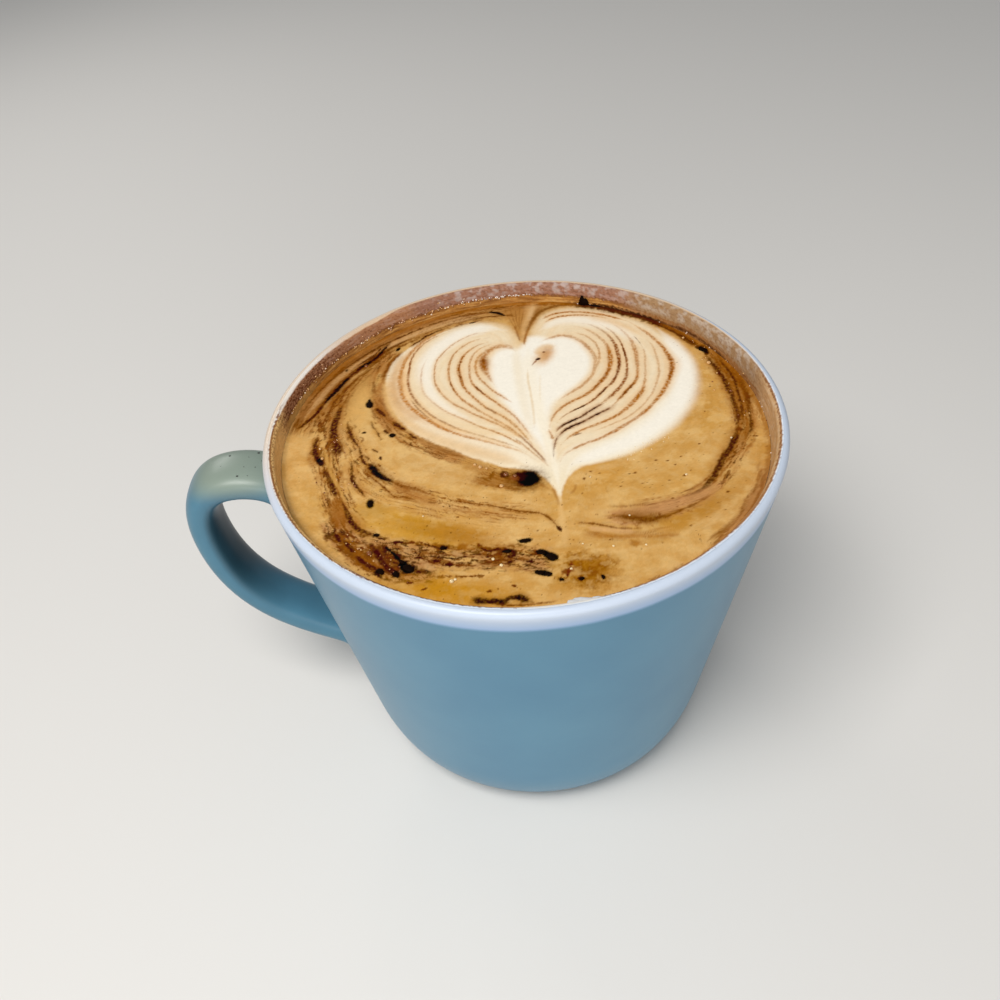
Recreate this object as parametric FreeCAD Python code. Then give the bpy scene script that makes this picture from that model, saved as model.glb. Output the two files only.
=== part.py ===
import FreeCAD, Part
import math
import os
from FreeCAD import Vector

# Latte in a glazed ceramic cup with one strap handle.
# Millimetres, +Z up, origin at the centre of the foot, handle along -X.

# ---- driving dimensions -------------------------------------------------
RIM_R = 50.0          # outer radius of the lip at its widest
RIM_Z = 77.3          # height of the lip's widest circle
LIP_R = 1.15          # radius of the fully rounded lip
TAPER = 0.1805        # outer wall: radius lost per mm going down
FOOT_R = 29.0         # outer radius of the flat foot
HEEL_Z = 13.8         # height at which the rounded heel meets the straight wall
FOOT_IN_R = 25.0      # inner radius of the foot ring
FOOT_RECESS = 1.6     # depth of the recess inside the foot ring
INNER_TAPER = 0.2025  # inner wall: radius lost per mm going down
FLOOR_Z = 6.2         # height of the inside floor at the centre
INNER_HEEL_Z = 19.0   # height at which the inside rounding meets the straight inner wall
INNER_FLOOR_R = 24.0  # radius of the flat part of the inside floor

HANDLE_HALF_W = 5.95  # half the strap's width, across the handle's plane
HANDLE_HALF_T = 3.33  # half the strap's thickness, in the handle's plane
HANDLE_POWER = 2.6    # superellipse power of the strap's section
HANDLE_PATH = [       # (distance from the cup's axis, height) along the strap's centreline
    (43.0, 60.9),
    (52.26, 68.0),
    (63.3, 66.85),
    (66.17, 53.79),
    (57.43, 34.46),
    (38.04, 22.0),
    (31.0, 18.6),
]
BLEND_R = 1.0         # blend where the strap meets the wall

LATTE_Z = 73.85       # level of the foam
LATTE_GAP = 0.05      # running clearance between the drink and the wall
LATTE_EDGE = 0.5      # rounding of the foam's edge


def outer_r(z):
    return RIM_R - TAPER * (RIM_Z - z)


def inner_r(z):
    return RIM_R - 2 * LIP_R - INNER_TAPER * (RIM_Z - z)


def bez(points):
    c = Part.BezierCurve()
    c.setPoles([Vector(x, 0, z) for x, z in points])
    return c.toShape()


def line(a, b):
    return Part.makeLine(Vector(a[0], 0, a[1]), Vector(b[0], 0, b[1]))


def arc(a, m, b):
    return Part.Arc(Vector(a[0], 0, a[1]), Vector(m[0], 0, m[1]), Vector(b[0], 0, b[1])).toShape()


def revolved(edges):
    wire = Part.Wire(edges)
    face = Part.Face(wire)
    solid = face.revolve(Vector(0, 0, 0), Vector(0, 0, 1), 360)
    if solid.Volume < 0:
        solid.reverse()
    return solid


# ---- cup: one revolved wall with foot ring, heel, rounded lip ------------
heel_out = (outer_r(HEEL_Z), HEEL_Z)
lip_out = (RIM_R, RIM_Z)
lip_top = (RIM_R - LIP_R, RIM_Z + LIP_R)
lip_in = (RIM_R - 2 * LIP_R, RIM_Z)
heel_in = (inner_r(INNER_HEEL_Z), INNER_HEEL_Z)
floor_in = (INNER_FLOOR_R, FLOOR_Z)
corner_in = (inner_r(FLOOR_Z) - 0.4, FLOOR_Z)

cup_edges = [
    line((0, FOOT_RECESS), (FOOT_IN_R - FOOT_RECESS, FOOT_RECESS)),
    line((FOOT_IN_R - FOOT_RECESS, FOOT_RECESS), (FOOT_IN_R, 0)),
    line((FOOT_IN_R, 0), (FOOT_R, 0)),
    bez([(FOOT_R, 0), (outer_r(0), 0.0), heel_out]),
    line(heel_out, lip_out),
    arc(lip_out, lip_top, lip_in),
    line(lip_in, heel_in),
    bez([heel_in, corner_in, floor_in]),
    line(floor_in, (0, FLOOR_Z)),
    line((0, FLOOR_Z), (0, FOOT_RECESS)),
]
wall = revolved(cup_edges)

# ---- handle: a strap swept along a smooth ring-shaped path ---------------
path = Part.BSplineCurve()
path.interpolate([Vector(-s, 0, z) for s, z in HANDLE_PATH])
spine = Part.Wire([path.toShape()])

t0 = path.tangent(path.FirstParameter)[0]
t0.normalize()
across = Vector(0, 1, 0)
normal = t0.cross(across)
start = path.value(path.FirstParameter)
section_points = []
N = 28
for i in range(N):
    a = 2 * math.pi * i / N
    c, s = math.cos(a), math.sin(a)
    u = math.copysign(abs(c) ** (2 / HANDLE_POWER), c) * HANDLE_HALF_W
    v = math.copysign(abs(s) ** (2 / HANDLE_POWER), s) * HANDLE_HALF_T
    section_points.append(start + across * u + normal * v)
ring = Part.BSplineCurve()
ring.interpolate(section_points, PeriodicFlag=True)
section = Part.Wire([ring.toShape()])

sweep = Part.BRepOffsetAPI.MakePipeShell(spine)
sweep.setBiNormalMode(Vector(0, 1, 0))
sweep.add(section)
sweep.build()
sweep.makeSolid()
strap = sweep.shape()
if strap.Volume < 0:
    strap.reverse()

# the strap ends inside the wall's thickness, clear of the inside face
mid_top = (RIM_R - LIP_R - 0.1, RIM_Z)
mid_low = (outer_r(10) - 1.6, 10)
core = revolved([
    line((0, 10), mid_low),
    line(mid_low, mid_top),
    line(mid_top, (0, RIM_Z)),
    line((0, RIM_Z), (0, 10)),
])
strap = strap.cut(core)
if len(strap.Solids) > 1:
    strap = max(strap.Solids, key=lambda q: q.Volume)
cup = wall.fuse(strap)

try:
    joint_edges = []
    for e in cup.Edges:
        c = e.CenterOfMass
        r = math.hypot(c.x, c.y)
        b = e.BoundBox
        if b.XMax < -25 and abs(r - outer_r(c.z)) < 4.0 and b.YLength < 16 and b.ZLength < 20 and e.Length > 0.5:
            ok = True
            for k in range(7):
                p = e.valueAt(e.FirstParameter + (e.LastParameter - e.FirstParameter) * k / 6)
                if abs(math.hypot(p.x, p.y) - outer_r(p.z)) > 0.05:
                    ok = False
            if ok:
                joint_edges.append(e)
    blended = cup.makeFillet(BLEND_R, joint_edges)
    if blended.isValid() and len(blended.Solids) == 1 and abs(blended.Volume - cup.Volume) < 100:
        cup = blended
        print("blend", BLEND_R, "on", len(joint_edges), "edges")
    else:
        print("blend left out")
except Exception as err:
    print("blend left out:", err)

if len(cup.Solids) == 1:
    cup = cup.Solids[0]

# ---- drink: fills the cup up to the foam's level -------------------------
g = LATTE_GAP
top_r = inner_r(LATTE_Z) - g
edge_z = LATTE_Z - LATTE_EDGE
edge_r = inner_r(edge_z) - g
in_heel = (inner_r(INNER_HEEL_Z) - g, INNER_HEEL_Z + g)
in_floor = (INNER_FLOOR_R - g, FLOOR_Z + g)
k = LATTE_EDGE * (1 - math.sqrt(0.5))
latte_edges = [
    line((0, FLOOR_Z + g), in_floor),
    bez([in_floor, (corner_in[0] - g, FLOOR_Z + g), in_heel]),
    line(in_heel, (edge_r, edge_z)),
    arc((edge_r, edge_z), (edge_r - k + 0.03, LATTE_Z - k), (edge_r - LATTE_EDGE, LATTE_Z)),
    line((edge_r - LATTE_EDGE, LATTE_Z), (0, LATTE_Z)),
    line((0, LATTE_Z), (0, FLOOR_Z + g)),
]
latte = revolved(latte_edges)

os.makedirs("parts", exist_ok=True)
for name, shape in (("cup", cup), ("latte", latte)):
    print(name, "valid", shape.isValid(), "solids", len(shape.Solids), "volume_ml", round(shape.Volume / 1000, 2),
          [round(v, 2) for v in (shape.BoundBox.XMin, shape.BoundBox.XMax, shape.BoundBox.YMin, shape.BoundBox.YMax, shape.BoundBox.ZMin, shape.BoundBox.ZMax)])
    shape.exportStep("parts/%s.step" % name)
common = cup.common(latte)
print("overlap_mm3", round(common.Volume, 4))
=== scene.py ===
import bpy
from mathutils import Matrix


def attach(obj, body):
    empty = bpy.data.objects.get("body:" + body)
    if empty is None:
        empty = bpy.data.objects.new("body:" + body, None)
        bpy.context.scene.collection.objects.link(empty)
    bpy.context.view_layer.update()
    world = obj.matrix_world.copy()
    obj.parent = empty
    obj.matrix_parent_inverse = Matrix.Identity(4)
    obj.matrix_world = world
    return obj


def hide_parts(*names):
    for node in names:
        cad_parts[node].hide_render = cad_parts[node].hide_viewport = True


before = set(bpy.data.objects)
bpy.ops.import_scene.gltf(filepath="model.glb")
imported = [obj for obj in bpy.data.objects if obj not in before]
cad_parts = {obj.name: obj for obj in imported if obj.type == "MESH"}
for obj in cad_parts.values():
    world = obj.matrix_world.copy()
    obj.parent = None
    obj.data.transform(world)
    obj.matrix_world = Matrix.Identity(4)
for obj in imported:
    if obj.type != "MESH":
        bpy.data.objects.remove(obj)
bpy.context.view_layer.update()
import bpy
import math
import numpy as np
from mathutils import Matrix

scene = bpy.context.scene
MM = 0.001

# ------------------------------------------------------------------ camera
R = [[0.994928633, 0.011869584, -0.099880566],
     [-0.063951058, -0.691810666, -0.719241451],
     [-0.077635537, 0.721981382, -0.687543168]]
cam_data = bpy.data.cameras.new("camera")
cam_data.sensor_width = 36.0
cam_data.lens = 39.6
cam_data.shift_x = 0.06
cam_data.shift_y = 0.02
cam_data.clip_start = 0.005
cam_data.clip_end = 20
cam_data.dof.use_dof = False
cam = bpy.data.objects.new("camera", cam_data)
scene.collection.objects.link(cam)
cam.matrix_world = Matrix((
    (R[0][0], -R[1][0], -R[2][0], 0.0),
    (R[0][1], -R[1][1], -R[2][1], -0.166095839),
    (R[0][2], -R[1][2], -R[2][2], 0.211166415),
    (0, 0, 0, 1)))
scene.camera = cam
scene.view_settings.view_transform = "Standard"
scene.view_settings.look = "None"
scene.view_settings.exposure = 0.0
scene.view_settings.gamma = 1.0

# ------------------------------------------------------------------ colour
def lin(c):
    c = c / 255.0
    return c / 12.92 if c <= 0.04045 else ((c + 0.055) / 1.055) ** 2.4


ALB = 0.90      # a colour seen as r,g,b under this light comes from this share of it as albedo


def rgb(r, g, b, k=None):
    k = ALB if k is None else k
    return np.array([lin(r) * k, lin(g) * k, lin(b) * k])


# ------------------------------------------------------------------ noise
def lattice(seed, n=256):
    g = np.random.default_rng(seed).random((n, n)) * 2 * np.pi
    return np.cos(g), np.sin(g)


def noise2(x, y, seed):
    gx, gy = lattice(seed)
    n = gx.shape[0]
    xi = np.floor(x).astype(int)
    yi = np.floor(y).astype(int)
    xf, yf = x - xi, y - yi
    u = xf * xf * xf * (xf * (xf * 6 - 15) + 10)
    v = yf * yf * yf * (yf * (yf * 6 - 15) + 10)

    def dot(ix, iy, dx, dy):
        a, b = ix % n, iy % n
        return gx[a, b] * dx + gy[a, b] * dy
    n00 = dot(xi, yi, xf, yf)
    n10 = dot(xi + 1, yi, xf - 1, yf)
    n01 = dot(xi, yi + 1, xf, yf - 1)
    n11 = dot(xi + 1, yi + 1, xf - 1, yf - 1)
    return (n00 * (1 - u) + n10 * u) * (1 - v) + (n01 * (1 - u) + n11 * u) * v


def fbm(x, y, seed, octaves=4, gain=0.5):
    t = np.zeros_like(x)
    a, f = 1.0, 1.0
    for o in range(octaves):
        t += a * noise2(x * f + 17.3 * o, y * f - 9.1 * o, seed + o)
        a *= gain
        f *= 2.03
    return t


def sstep(a, b, x):
    t = np.clip((x - a) / (b - a), 0, 1)
    return t * t * (3 - 2 * t)


# ------------------------------------------------------------------ curves
def curve(pts, step=0.35):
    """Catmull-Rom curve through points (x, y); returns points and share of length."""
    p = np.array(pts, float)
    if len(p) == 2:
        q = p
    else:
        e = np.vstack([2 * p[0] - p[1], p, 2 * p[-1] - p[-2]])
        out = []
        for i in range(1, len(e) - 2):
            a, b, c, d = e[i - 1], e[i], e[i + 1], e[i + 2]
            n = max(2, int(np.linalg.norm(c - b) / step))
            t = np.linspace(0, 1, n, endpoint=False)[:, None]
            out.append(0.5 * ((2 * b) + (c - a) * t + (2 * a - 5 * b + 4 * c - d) * t ** 2 + (3 * b - a - 3 * c + d) * t ** 3))
        out.append(e[-2][None])
        q = np.vstack(out)
    s = np.concatenate([[0], np.cumsum(np.linalg.norm(np.diff(q, axis=0), axis=1))])
    return q, s / max(s[-1], 1e-9)


class Canvas:
    """Colours at the foam's points, painted in layers with curves given in millimetres."""

    def __init__(self, x, y):
        self.x, self.y = x, y
        self.c = np.zeros((len(x), 3))
        self.h = np.zeros(len(x))
        self.gloss = np.zeros(len(x))
        # slow and fast wander, used to make edges irregular
        self.w1 = fbm(x * 0.9, y * 0.9, 11, 3)
        self.w2 = fbm(x * 2.6, y * 2.6, 23, 2)
        self.grain = fbm(x * 1.7, y * 1.7, 37, 3)

    def dist(self, q, margin):
        lo, hi = q.min(0) - margin, q.max(0) + margin
        k = np.nonzero((self.x > lo[0]) & (self.x < hi[0]) & (self.y > lo[1]) & (self.y < hi[1]))[0]
        if len(k) == 0:
            return k, None, None
        px, py = self.x[k], self.y[k]
        best = np.full(len(k), 1e9)
        par = np.zeros(len(k))
        for i in range(len(q) - 1):
            ax, ay = q[i]
            bx, by = q[i + 1]
            dx, dy = bx - ax, by - ay
            L = dx * dx + dy * dy
            if L < 1e-12:
                continue
            t = np.clip(((px - ax) * dx + (py - ay) * dy) / L, 0, 1)
            d = np.hypot(px - ax - t * dx, py - ay - t * dy)
            m = d < best
            best[m] = d[m]
            par[m] = i + t[m]
        return k, best, par

    def along(self, pts, margin):
        """points near a curve, with length along it and signed distance across it"""
        q, _ = curve(pts)
        seg = np.concatenate([[0], np.cumsum(np.linalg.norm(np.diff(q, axis=0), axis=1))])
        k, d, par = self.dist(q, margin)
        if d is None:
            return k, None, None, 0
        i = np.clip(par.astype(int), 0, len(q) - 2)
        t = q[i + 1] - q[i]
        cr = t[:, 0] * (self.y[k] - q[i, 1]) - t[:, 1] * (self.x[k] - q[i, 0])
        return k, np.interp(par, np.arange(len(q)), seg), np.sign(cr) * d, seg[-1]

    def streaks(self, pts, w, layers, seed, a=1.0, ends=3.0):
        """flowing streaks round a curve; layers are (colour, alpha, low, high, along scale, across scale)"""
        k, u, v, L = self.along(pts, w)
        if u is None:
            return
        env = (1 - sstep(0.45, 1.0, np.abs(v) / w + 0.25 * self.w1[k])) * sstep(0, ends, u) * sstep(0, ends, L - u) * a
        wob = v + 0.55 * fbm(u * 0.22, v * 0.4, seed + 5, 3)
        for i, (col, al, lo, hi, su, sv) in enumerate(layers):
            f = fbm(u * su, wob * sv, seed + 20 * i, 4, 0.62)
            self.mix(k, env * al * sstep(lo, hi, f), col, -0.015 * al if col.mean() < 0.08 else 0.0)

    def dashes(self, pts, spread, count, seed, cols, length=(0.6, 2.6), width=(0.16, 0.5), a=0.9):
        rng = np.random.default_rng(seed)
        q, sh = curve(pts)
        for _ in range(count):
            t = rng.random()
            i = min(int(np.searchsorted(sh, t)), len(q) - 2)
            tan = q[i + 1] - q[i]
            tan = tan / max(np.linalg.norm(tan), 1e-6)
            nor = np.array([-tan[1], tan[0]])
            c = q[i] + nor * rng.normal(0, spread * 0.45)
            if np.hypot(c[0], c[1]) > 46:
                continue
            ang = rng.normal(0, 0.22)
            d = tan * math.cos(ang) + nor * math.sin(ang)
            ln = rng.uniform(*length)
            bend = nor * rng.normal(0, 0.15) * ln
            w = rng.uniform(*width)
            col = cols[int(rng.integers(len(cols)))]
            self.stroke([c - d * ln / 2, c + bend, c + d * ln / 2], [w * 0.5, w, w * 0.6], a * rng.uniform(0.6, 1.0), col, 0.5, 0.25, 0.3, -0.02, 0.2, ends=0.3)

    def mix(self, k, a, col, h=0.0, gloss=0.0):
        a = np.clip(a, 0, 1)
        self.c[k] += (col - self.c[k]) * a[:, None]
        if h:
            self.h[k] += h * a
        if gloss:
            self.gloss[k] = np.maximum(self.gloss[k], a * gloss)

    def stroke(self, pts, w, a, col, soft=0.5, jag=0.12, broken=0.0, h=0.0, gloss=0.0, ends=0.12):
        """w and a are a number or a list spread along the curve; w is full width in mm."""
        q, s = curve(pts)
        ws = np.interp(s, np.linspace(0, 1, len(np.atleast_1d(w))), np.atleast_1d(w))
        al = np.interp(s, np.linspace(0, 1, len(np.atleast_1d(a))), np.atleast_1d(a))
        if ends > 0:
            e = sstep(0, ends, s) * sstep(0, ends, 1 - s)
            ws = ws * (0.25 + 0.75 * e)
            al = al * (0.35 + 0.65 * e)
        k, d, par = self.dist(q, ws.max() * 0.8 + 0.6)
        if d is None:
            return
        idx = np.arange(len(q))
        wk = np.interp(par, idx, ws) * 0.5
        ak = np.interp(par, idx, al)
        d = d + jag * (self.w1[k] + 0.6 * self.w2[k])
        f = 1 - sstep(1 - soft, 1 + soft, d / np.maximum(wk, 0.02))
        if broken > 0:
            f = f * (1 - broken * sstep(-0.15, 0.35, self.grain[k]))
        self.mix(k, f * ak, col, h, gloss)

    def blob(self, x, y, rx, ry, col, a=1.0, soft=0.3, rot=0.0, jag=0.15, h=0.0, gloss=0.0):
        m = max(rx, ry) * (1 + soft) + 0.8
        k = np.nonzero((abs(self.x - x) < m * 1.4) & (abs(self.y - y) < m * 1.4))[0]
        if len(k) == 0:
            return
        c, s = math.cos(math.radians(rot)), math.sin(math.radians(rot))
        dx, dy = self.x[k] - x, self.y[k] - y
        u, v = (dx * c + dy * s) / rx, (-dx * s + dy * c) / ry
        d = np.hypot(u, v) + jag * (self.w1[k] * 1.0 + 0.7 * self.w2[k]) / min(1.0, max(0.3, min(rx, ry)))
        self.mix(k, a * (1 - sstep(1 - soft, 1 + soft, d)), col, h, gloss)

    def area(self, pts):
        """signed distance to a closed curve, positive inside"""
        q, s = curve(list(pts) + [pts[0]], 0.8)
        px, py = self.x, self.y
        best = np.full(len(px), 1e9)
        inside = np.zeros(len(px), bool)
        for i in range(len(q) - 1):
            ax, ay = q[i]
            bx, by = q[i + 1]
            dx, dy = bx - ax, by - ay
            L = dx * dx + dy * dy
            if L < 1e-12:
                continue
            t = np.clip(((px - ax) * dx + (py - ay) * dy) / L, 0, 1)
            d = (px - ax - t * dx) ** 2 + (py - ay - t * dy) ** 2
            best = np.minimum(best, d)
            if ay != by:
                inside ^= ((ay > py) != (by > py)) & (px < dx * (py - ay) / dy + ax)
        return np.where(inside, 1, -1) * np.sqrt(best)


# palette, as seen in soft light
CREMA = rgb(212, 165, 98)
CREMA_LIGHT = rgb(222, 180, 118)
GOLD = rgb(198, 144, 62)
OLIVE = rgb(168, 108, 28)
MILK = rgb(250, 242, 226)
CREAM = rgb(243, 226, 194)
SAND = rgb(234, 200, 150)
PEACH = rgb(231, 184, 126)
RIPPLE = rgb(174, 108, 42)
RIPPLE_DARK = rgb(140, 78, 28)
PINK = rgb(196, 144, 94)
COCOA = rgb(150, 92, 40)
BROWN = rgb(106, 54, 16)
DARK = rgb(60, 25, 6)
BLACK = rgb(9, 3, 2)
INK = rgb(30, 11, 4)

HEART = [(3.2, 34.5), (4.5, 38.6), (5.7, 40.9), (7.7, 42.7), (10, 43.6), (12.5, 44), (14.8, 43.5), (17.4, 42.7), (20.6, 41.5),
         (23.8, 39.3), (26.4, 37.4), (29, 35.1), (31.2, 31.9), (33.2, 28.6), (34.8, 25.4), (36.1, 22.2), (36.5, 19), (36, 15.1),
         (35.1, 10.9), (33.8, 6.7), (31.9, 2.8), (30.3, 0), (27.7, -2.4), (25.4, -4.3), (23.2, -5.9), (20.6, -7.5), (17.4, -8.7),
         (14.1, -9.5), (11.2, -10.2), (9.2, -11.9), (7.9, -14.1), (7, -17), (6.5, -19.6), (5.9, -16.7), (4.4, -13.5), (2.4, -10.9),
         (-0.5, -9.6), (-3.2, -9.0), (-6, -7.4), (-9.9, -5.3), (-13.8, -2.3), (-17.4, 0.0), (-20.5, 2.7), (-23.4, 6.5), (-25.2, 10.3),
         (-26.4, 14), (-27.2, 17.5), (-27.6, 21), (-27.2, 25), (-26, 28.8), (-23.6, 32.2), (-20.6, 34.9), (-17, 37.3), (-12.5, 39.6),
         (-8.6, 40.7), (-5.4, 40.5), (-2.9, 39.6), (-1.0, 38.2), (0.3, 36.0), (1.0, 33.8), (1.7, 31.4)]


def paint(cv):
    x, y = cv.x, cv.y
    heart = cv.area(HEART)                      # positive inside
    out = -heart
    r = np.hypot(x, y)
    th = np.arctan2(y, x)
    # marbling runs round the heart and round the cup
    near = sstep(14, 2, out)
    v = out * near + (46.9 - r) * -0.9 * (1 - near) + 8 * (1 - near)
    v = v + 1.1 * fbm(x * 0.11, y * 0.11, 51, 3)
    u = th * 14
    streak = fbm(u * 0.35, v * 1.15, 61, 4, 0.6)
    fine = fbm(u * 0.9, v * 3.2, 71, 3, 0.6)
    cloud = fbm(x * 0.09, y * 0.09, 81, 4)
    mott = fbm(x * 0.55, y * 0.55, 91, 4, 0.6)
    speck = fbm(x * 3.1, y * 3.1, 97, 2, 0.6)

    # crema
    cv.c[:] = CREMA
    allk = np.arange(len(x))
    cv.mix(allk, sstep(-0.1, 0.7, cloud) * 0.5, CREMA_LIGHT)
    cv.mix(allk, sstep(0.05, 0.7, -cloud) * 0.35, GOLD)

    def soft(px, py, rx, ry, col, a, rot=0.0, s=0.9):
        cv.blob(px, py, rx, ry, col, a, s, rot, 0.12)

    # broad tints
    soft(-20, -23.5, 10, 3.4, rgb(200, 146, 52), 0.85, -25)
    soft(-12.5, -26.5, 9, 2.2, rgb(162, 100, 16), 0.62, -24)
    soft(-15, -39, 9, 3.5, rgb(192, 132, 34), 0.85, -12)
    soft(-4, -40.5, 7, 2.5, GOLD, 0.45)
    soft(9.6, -36.6, 5.4, 4.2, rgb(172, 116, 20), 0.85)
    soft(8.5, -33.5, 2.2, 3.0, OLIVE, 0.4)
    cv.blob(10.3, -37, 3.6, 3.4, rgb(124, 66, 2), 0.8, 0.8, 0, 0.75)
    cv.blob(7.6, -34.6, 1.6, 1.8, rgb(140, 84, 8), 0.5, 0.8, 0, 0.8)
    cv.blob(12.6, -35.4, 1.6, 1.4, rgb(140, 80, 8), 0.5, 0.8, 0, 0.8)
    soft(32, -23.5, 7.5, 2.2, OLIVE, 0.42, 32)
    soft(26, -27, 6, 2.6, GOLD, 0.6, 20)
    soft(25, -33.5, 9, 2.4, rgb(220, 174, 106), 0.75, 25)
    soft(13.5, -12.5, 5.5, 3.0, rgb(206, 148, 66), 0.6, 12)
    soft(37, 5, 3.0, 7.0, rgb(200, 146, 68), 0.5, -8)
    soft(-40, -16, 2.6, 6.5, rgb(202, 154, 78), 0.5, 22)
    soft(34, -1, 3.2, 7, GOLD, 0.35, -25)
    soft(34.5, 12, 2.6, 8, rgb(204, 148, 70), 0.6, -8)
    soft(20, -16, 9, 3.5, GOLD, 0.3, 10)
    soft(-32, 15, 2.6, 8, rgb(214, 168, 100), 0.8, -8)
    soft(-31, 11, 2.2, 6, rgb(222, 182, 118), 0.6, 0)
    soft(-19, -4.5, 6.5, 3.2, rgb(224, 184, 122), 0.8, -35)
    soft(-15, -9, 7, 3.0, rgb(214, 172, 112), 0.7, -30)
    soft(-43, -3, 3, 12, rgb(218, 172, 106), 0.7, 8)
    soft(-40, -18, 3, 9, rgb(214, 168, 96), 0.6, 30)
    soft(42, -15, 3.2, 12, rgb(198, 148, 82), 0.6, -25)

    F = [(rgb(228, 188, 128), 0.42, 0.0, 0.6, 0.05, 0.26), (rgb(192, 140, 68), 0.40, 0.0, 0.6, 0.06, 0.30), (rgb(176, 122, 54), 0.16, 0.2, 0.55, 0.12, 0.9)]
    cv.streaks([(-42, 2), (-39, -10), (-31, -20), (-18, -27), (-2, -31), (14, -34), (28, -32)], 13, F, 1200, 0.9)
    cv.streaks([(-33, 6), (-26, -6), (-16, -12), (-5, -16), (5, -20)], 8, F, 1230, 0.9)
    cv.streaks([(8, -16), (16, -14), (25, -10), (32, -3), (37, 6), (38, 18)], 7, F, 1260, 0.9)
    cv.streaks([(10, -30), (22, -29), (32, -24), (40, -14), (44, -2)], 6, F, 1290, 0.9)
    cloud2 = fbm(x * 0.21, y * 0.26, 191, 4, 0.6)
    cv.mix(allk, sstep(0.0, 0.45, cloud2) * 0.42, rgb(232, 192, 126))
    cv.mix(allk, sstep(0.05, 0.45, -cloud2) * 0.34, rgb(190, 136, 62))
    cv.mix(allk, sstep(0.1, 0.5, mott) * 0.30, rgb(192, 140, 72))
    cv.mix(allk, sstep(0.1, 0.5, -mott) * 0.30, rgb(230, 188, 124))

    # dark crescent between the heart and the far side of the cup
    cres = sstep(1.2, 4.0, out) * sstep(-12, -2, y - 30 - 0.25 * x + 4 * cloud) * sstep(26, 14, x)
    cv.mix(allk, cres * 0.70, rgb(172, 118, 60))
    cv.mix(allk, cres * sstep(-0.1, 0.5, streak) * 0.48, rgb(124, 74, 32))
    cv.mix(allk, cres * sstep(0.10, 0.5, -streak) * 0.55, rgb(198, 146, 82))
    left = sstep(-30, -38, x) * sstep(2, 14, y)
    cv.mix(allk, left * (0.35 + 0.4 * sstep(-0.2, 0.4, fine)), rgb(150, 98, 50))

    # zones where cocoa streaks are drawn out by the pour
    L_BROWN = [(rgb(178, 124, 70), 0.75, -0.35, 0.35, 0.10, 0.55), (rgb(214, 168, 104), 0.6, 0.12, 0.5, 0.12, 1.1), (COCOA, 0.85, 0.02, 0.42, 0.12, 1.3), (BROWN, 0.85, 0.14, 0.46, 0.16, 2.0), (DARK, 0.85, 0.26, 0.52, 0.22, 2.6)]
    L_SOFT = [(rgb(190, 138, 80), 0.6, -0.3, 0.4, 0.10, 0.5), (rgb(224, 182, 120), 0.5, 0.12, 0.5, 0.12, 1.1), (COCOA, 0.7, 0.08, 0.5, 0.14, 1.5), (BROWN, 0.6, 0.24, 0.55, 0.2, 2.4)]
    L_PINK = [(rgb(172, 122, 78), 0.9, -0.5, 0.15, 0.15, 0.6), (rgb(206, 158, 104), 0.6, 0.1, 0.45, 0.2, 1.0), (rgb(122, 68, 26), 0.85, 0.0, 0.3, 0.22, 0.9), (DARK, 0.9, 0.12, 0.36, 0.3, 1.15), (BLACK, 0.85, 0.3, 0.5, 0.4, 1.4)]
    # the crescent along the far left wall
    cv.streaks([(-46, 4), (-44.4, 12), (-41, 20), (-36, 28), (-29, 35.2), (-20, 41), (-10, 44.6), (0, 45.8), (8, 46)], 5.2,
               [(rgb(170, 118, 66), 0.9, -0.6, 0.1, 0.05, 0.4), (rgb(204, 156, 96), 0.75, 0.0, 0.40, 0.06, 0.8), (rgb(112, 66, 30), 0.8, 0.05, 0.42, 0.08, 1.2), (BROWN, 0.8, 0.16, 0.5, 0.12, 1.9), (DARK, 0.6, 0.3, 0.6, 0.16, 2.4)], 300, 0.95, 5)
    cv.streaks([(-27.5, 33.5), (-31.5, 28), (-36, 21), (-38.5, 14), (-38.6, 6), (-38, -3), (-36.4, -10), (-34.5, -17), (-31, -24)], 3.6, L_BROWN, 400, 0.9)
    cv.streaks([(-25, 33), (-28.4, 27), (-29.6, 20), (-28.8, 13), (-26, 6.5), (-21.5, 1), (-16, -3), (-10, -6.4)], 2.3, [(rgb(176, 120, 68), 0.9, -0.6, 0.1, 0.1, 0.5)] + L_BROWN[2:], 500, 0.85)
    cv.streaks([(-36, 8), (-34, 2), (-31.4, -4), (-27, -9.8), (-22, -13.6), (-15, -17.2), (-7, -19.8), (2, -22)], 2.9, L_SOFT, 600, 0.95)
    cv.streaks([(-33, -3), (-31.6, -9), (-28.4, -13.5), (-22, -17), (-12, -20.6), (-3, -23)], 3.0, L_SOFT, 620, 0.7)
    cv.streaks([(-36, -19), (-33, -25), (-28, -30.6), (-22, -34.4), (-15, -35)], 3.6, L_PINK, 700, 0.95)
    cv.streaks([(-30, -27), (-22, -29.6), (-13, -31.6), (-4, -32.4), (5, -34.4)], 3.8, L_PINK, 720, 0.85)
    cv.streaks([(-9, -10), (-4, -12.6), (1, -13.6)], 3.0, L_BROWN, 740, 0.75, 1.5)
    cv.streaks([(-12, -4.6), (-5, -8.6), (1, -11.4)], 1.6, L_SOFT, 745, 0.7, 1.5)
    cv.stroke([(38.6, 26), (41, 20), (43.2, 11), (43.4, 3), (42, -4), (38.6, -10)], [2.4, 3.6, 4.2, 4.0, 3.4, 2.2], [0.5, 0.7, 0.75, 0.7, 0.6, 0.4], rgb(150, 96, 42), 0.8, 0.4, 0.25)
    cv.streaks([(18, 43.8), (26, 40.8), (32, 36.6), (37, 30.6), (40.4, 23), (42.6, 14), (43.2, 5), (42, -4), (38, -11.6), (33.4, -18), (27, -21.4), (19, -22.4)], 2.7, L_BROWN, 800, 0.85)
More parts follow.
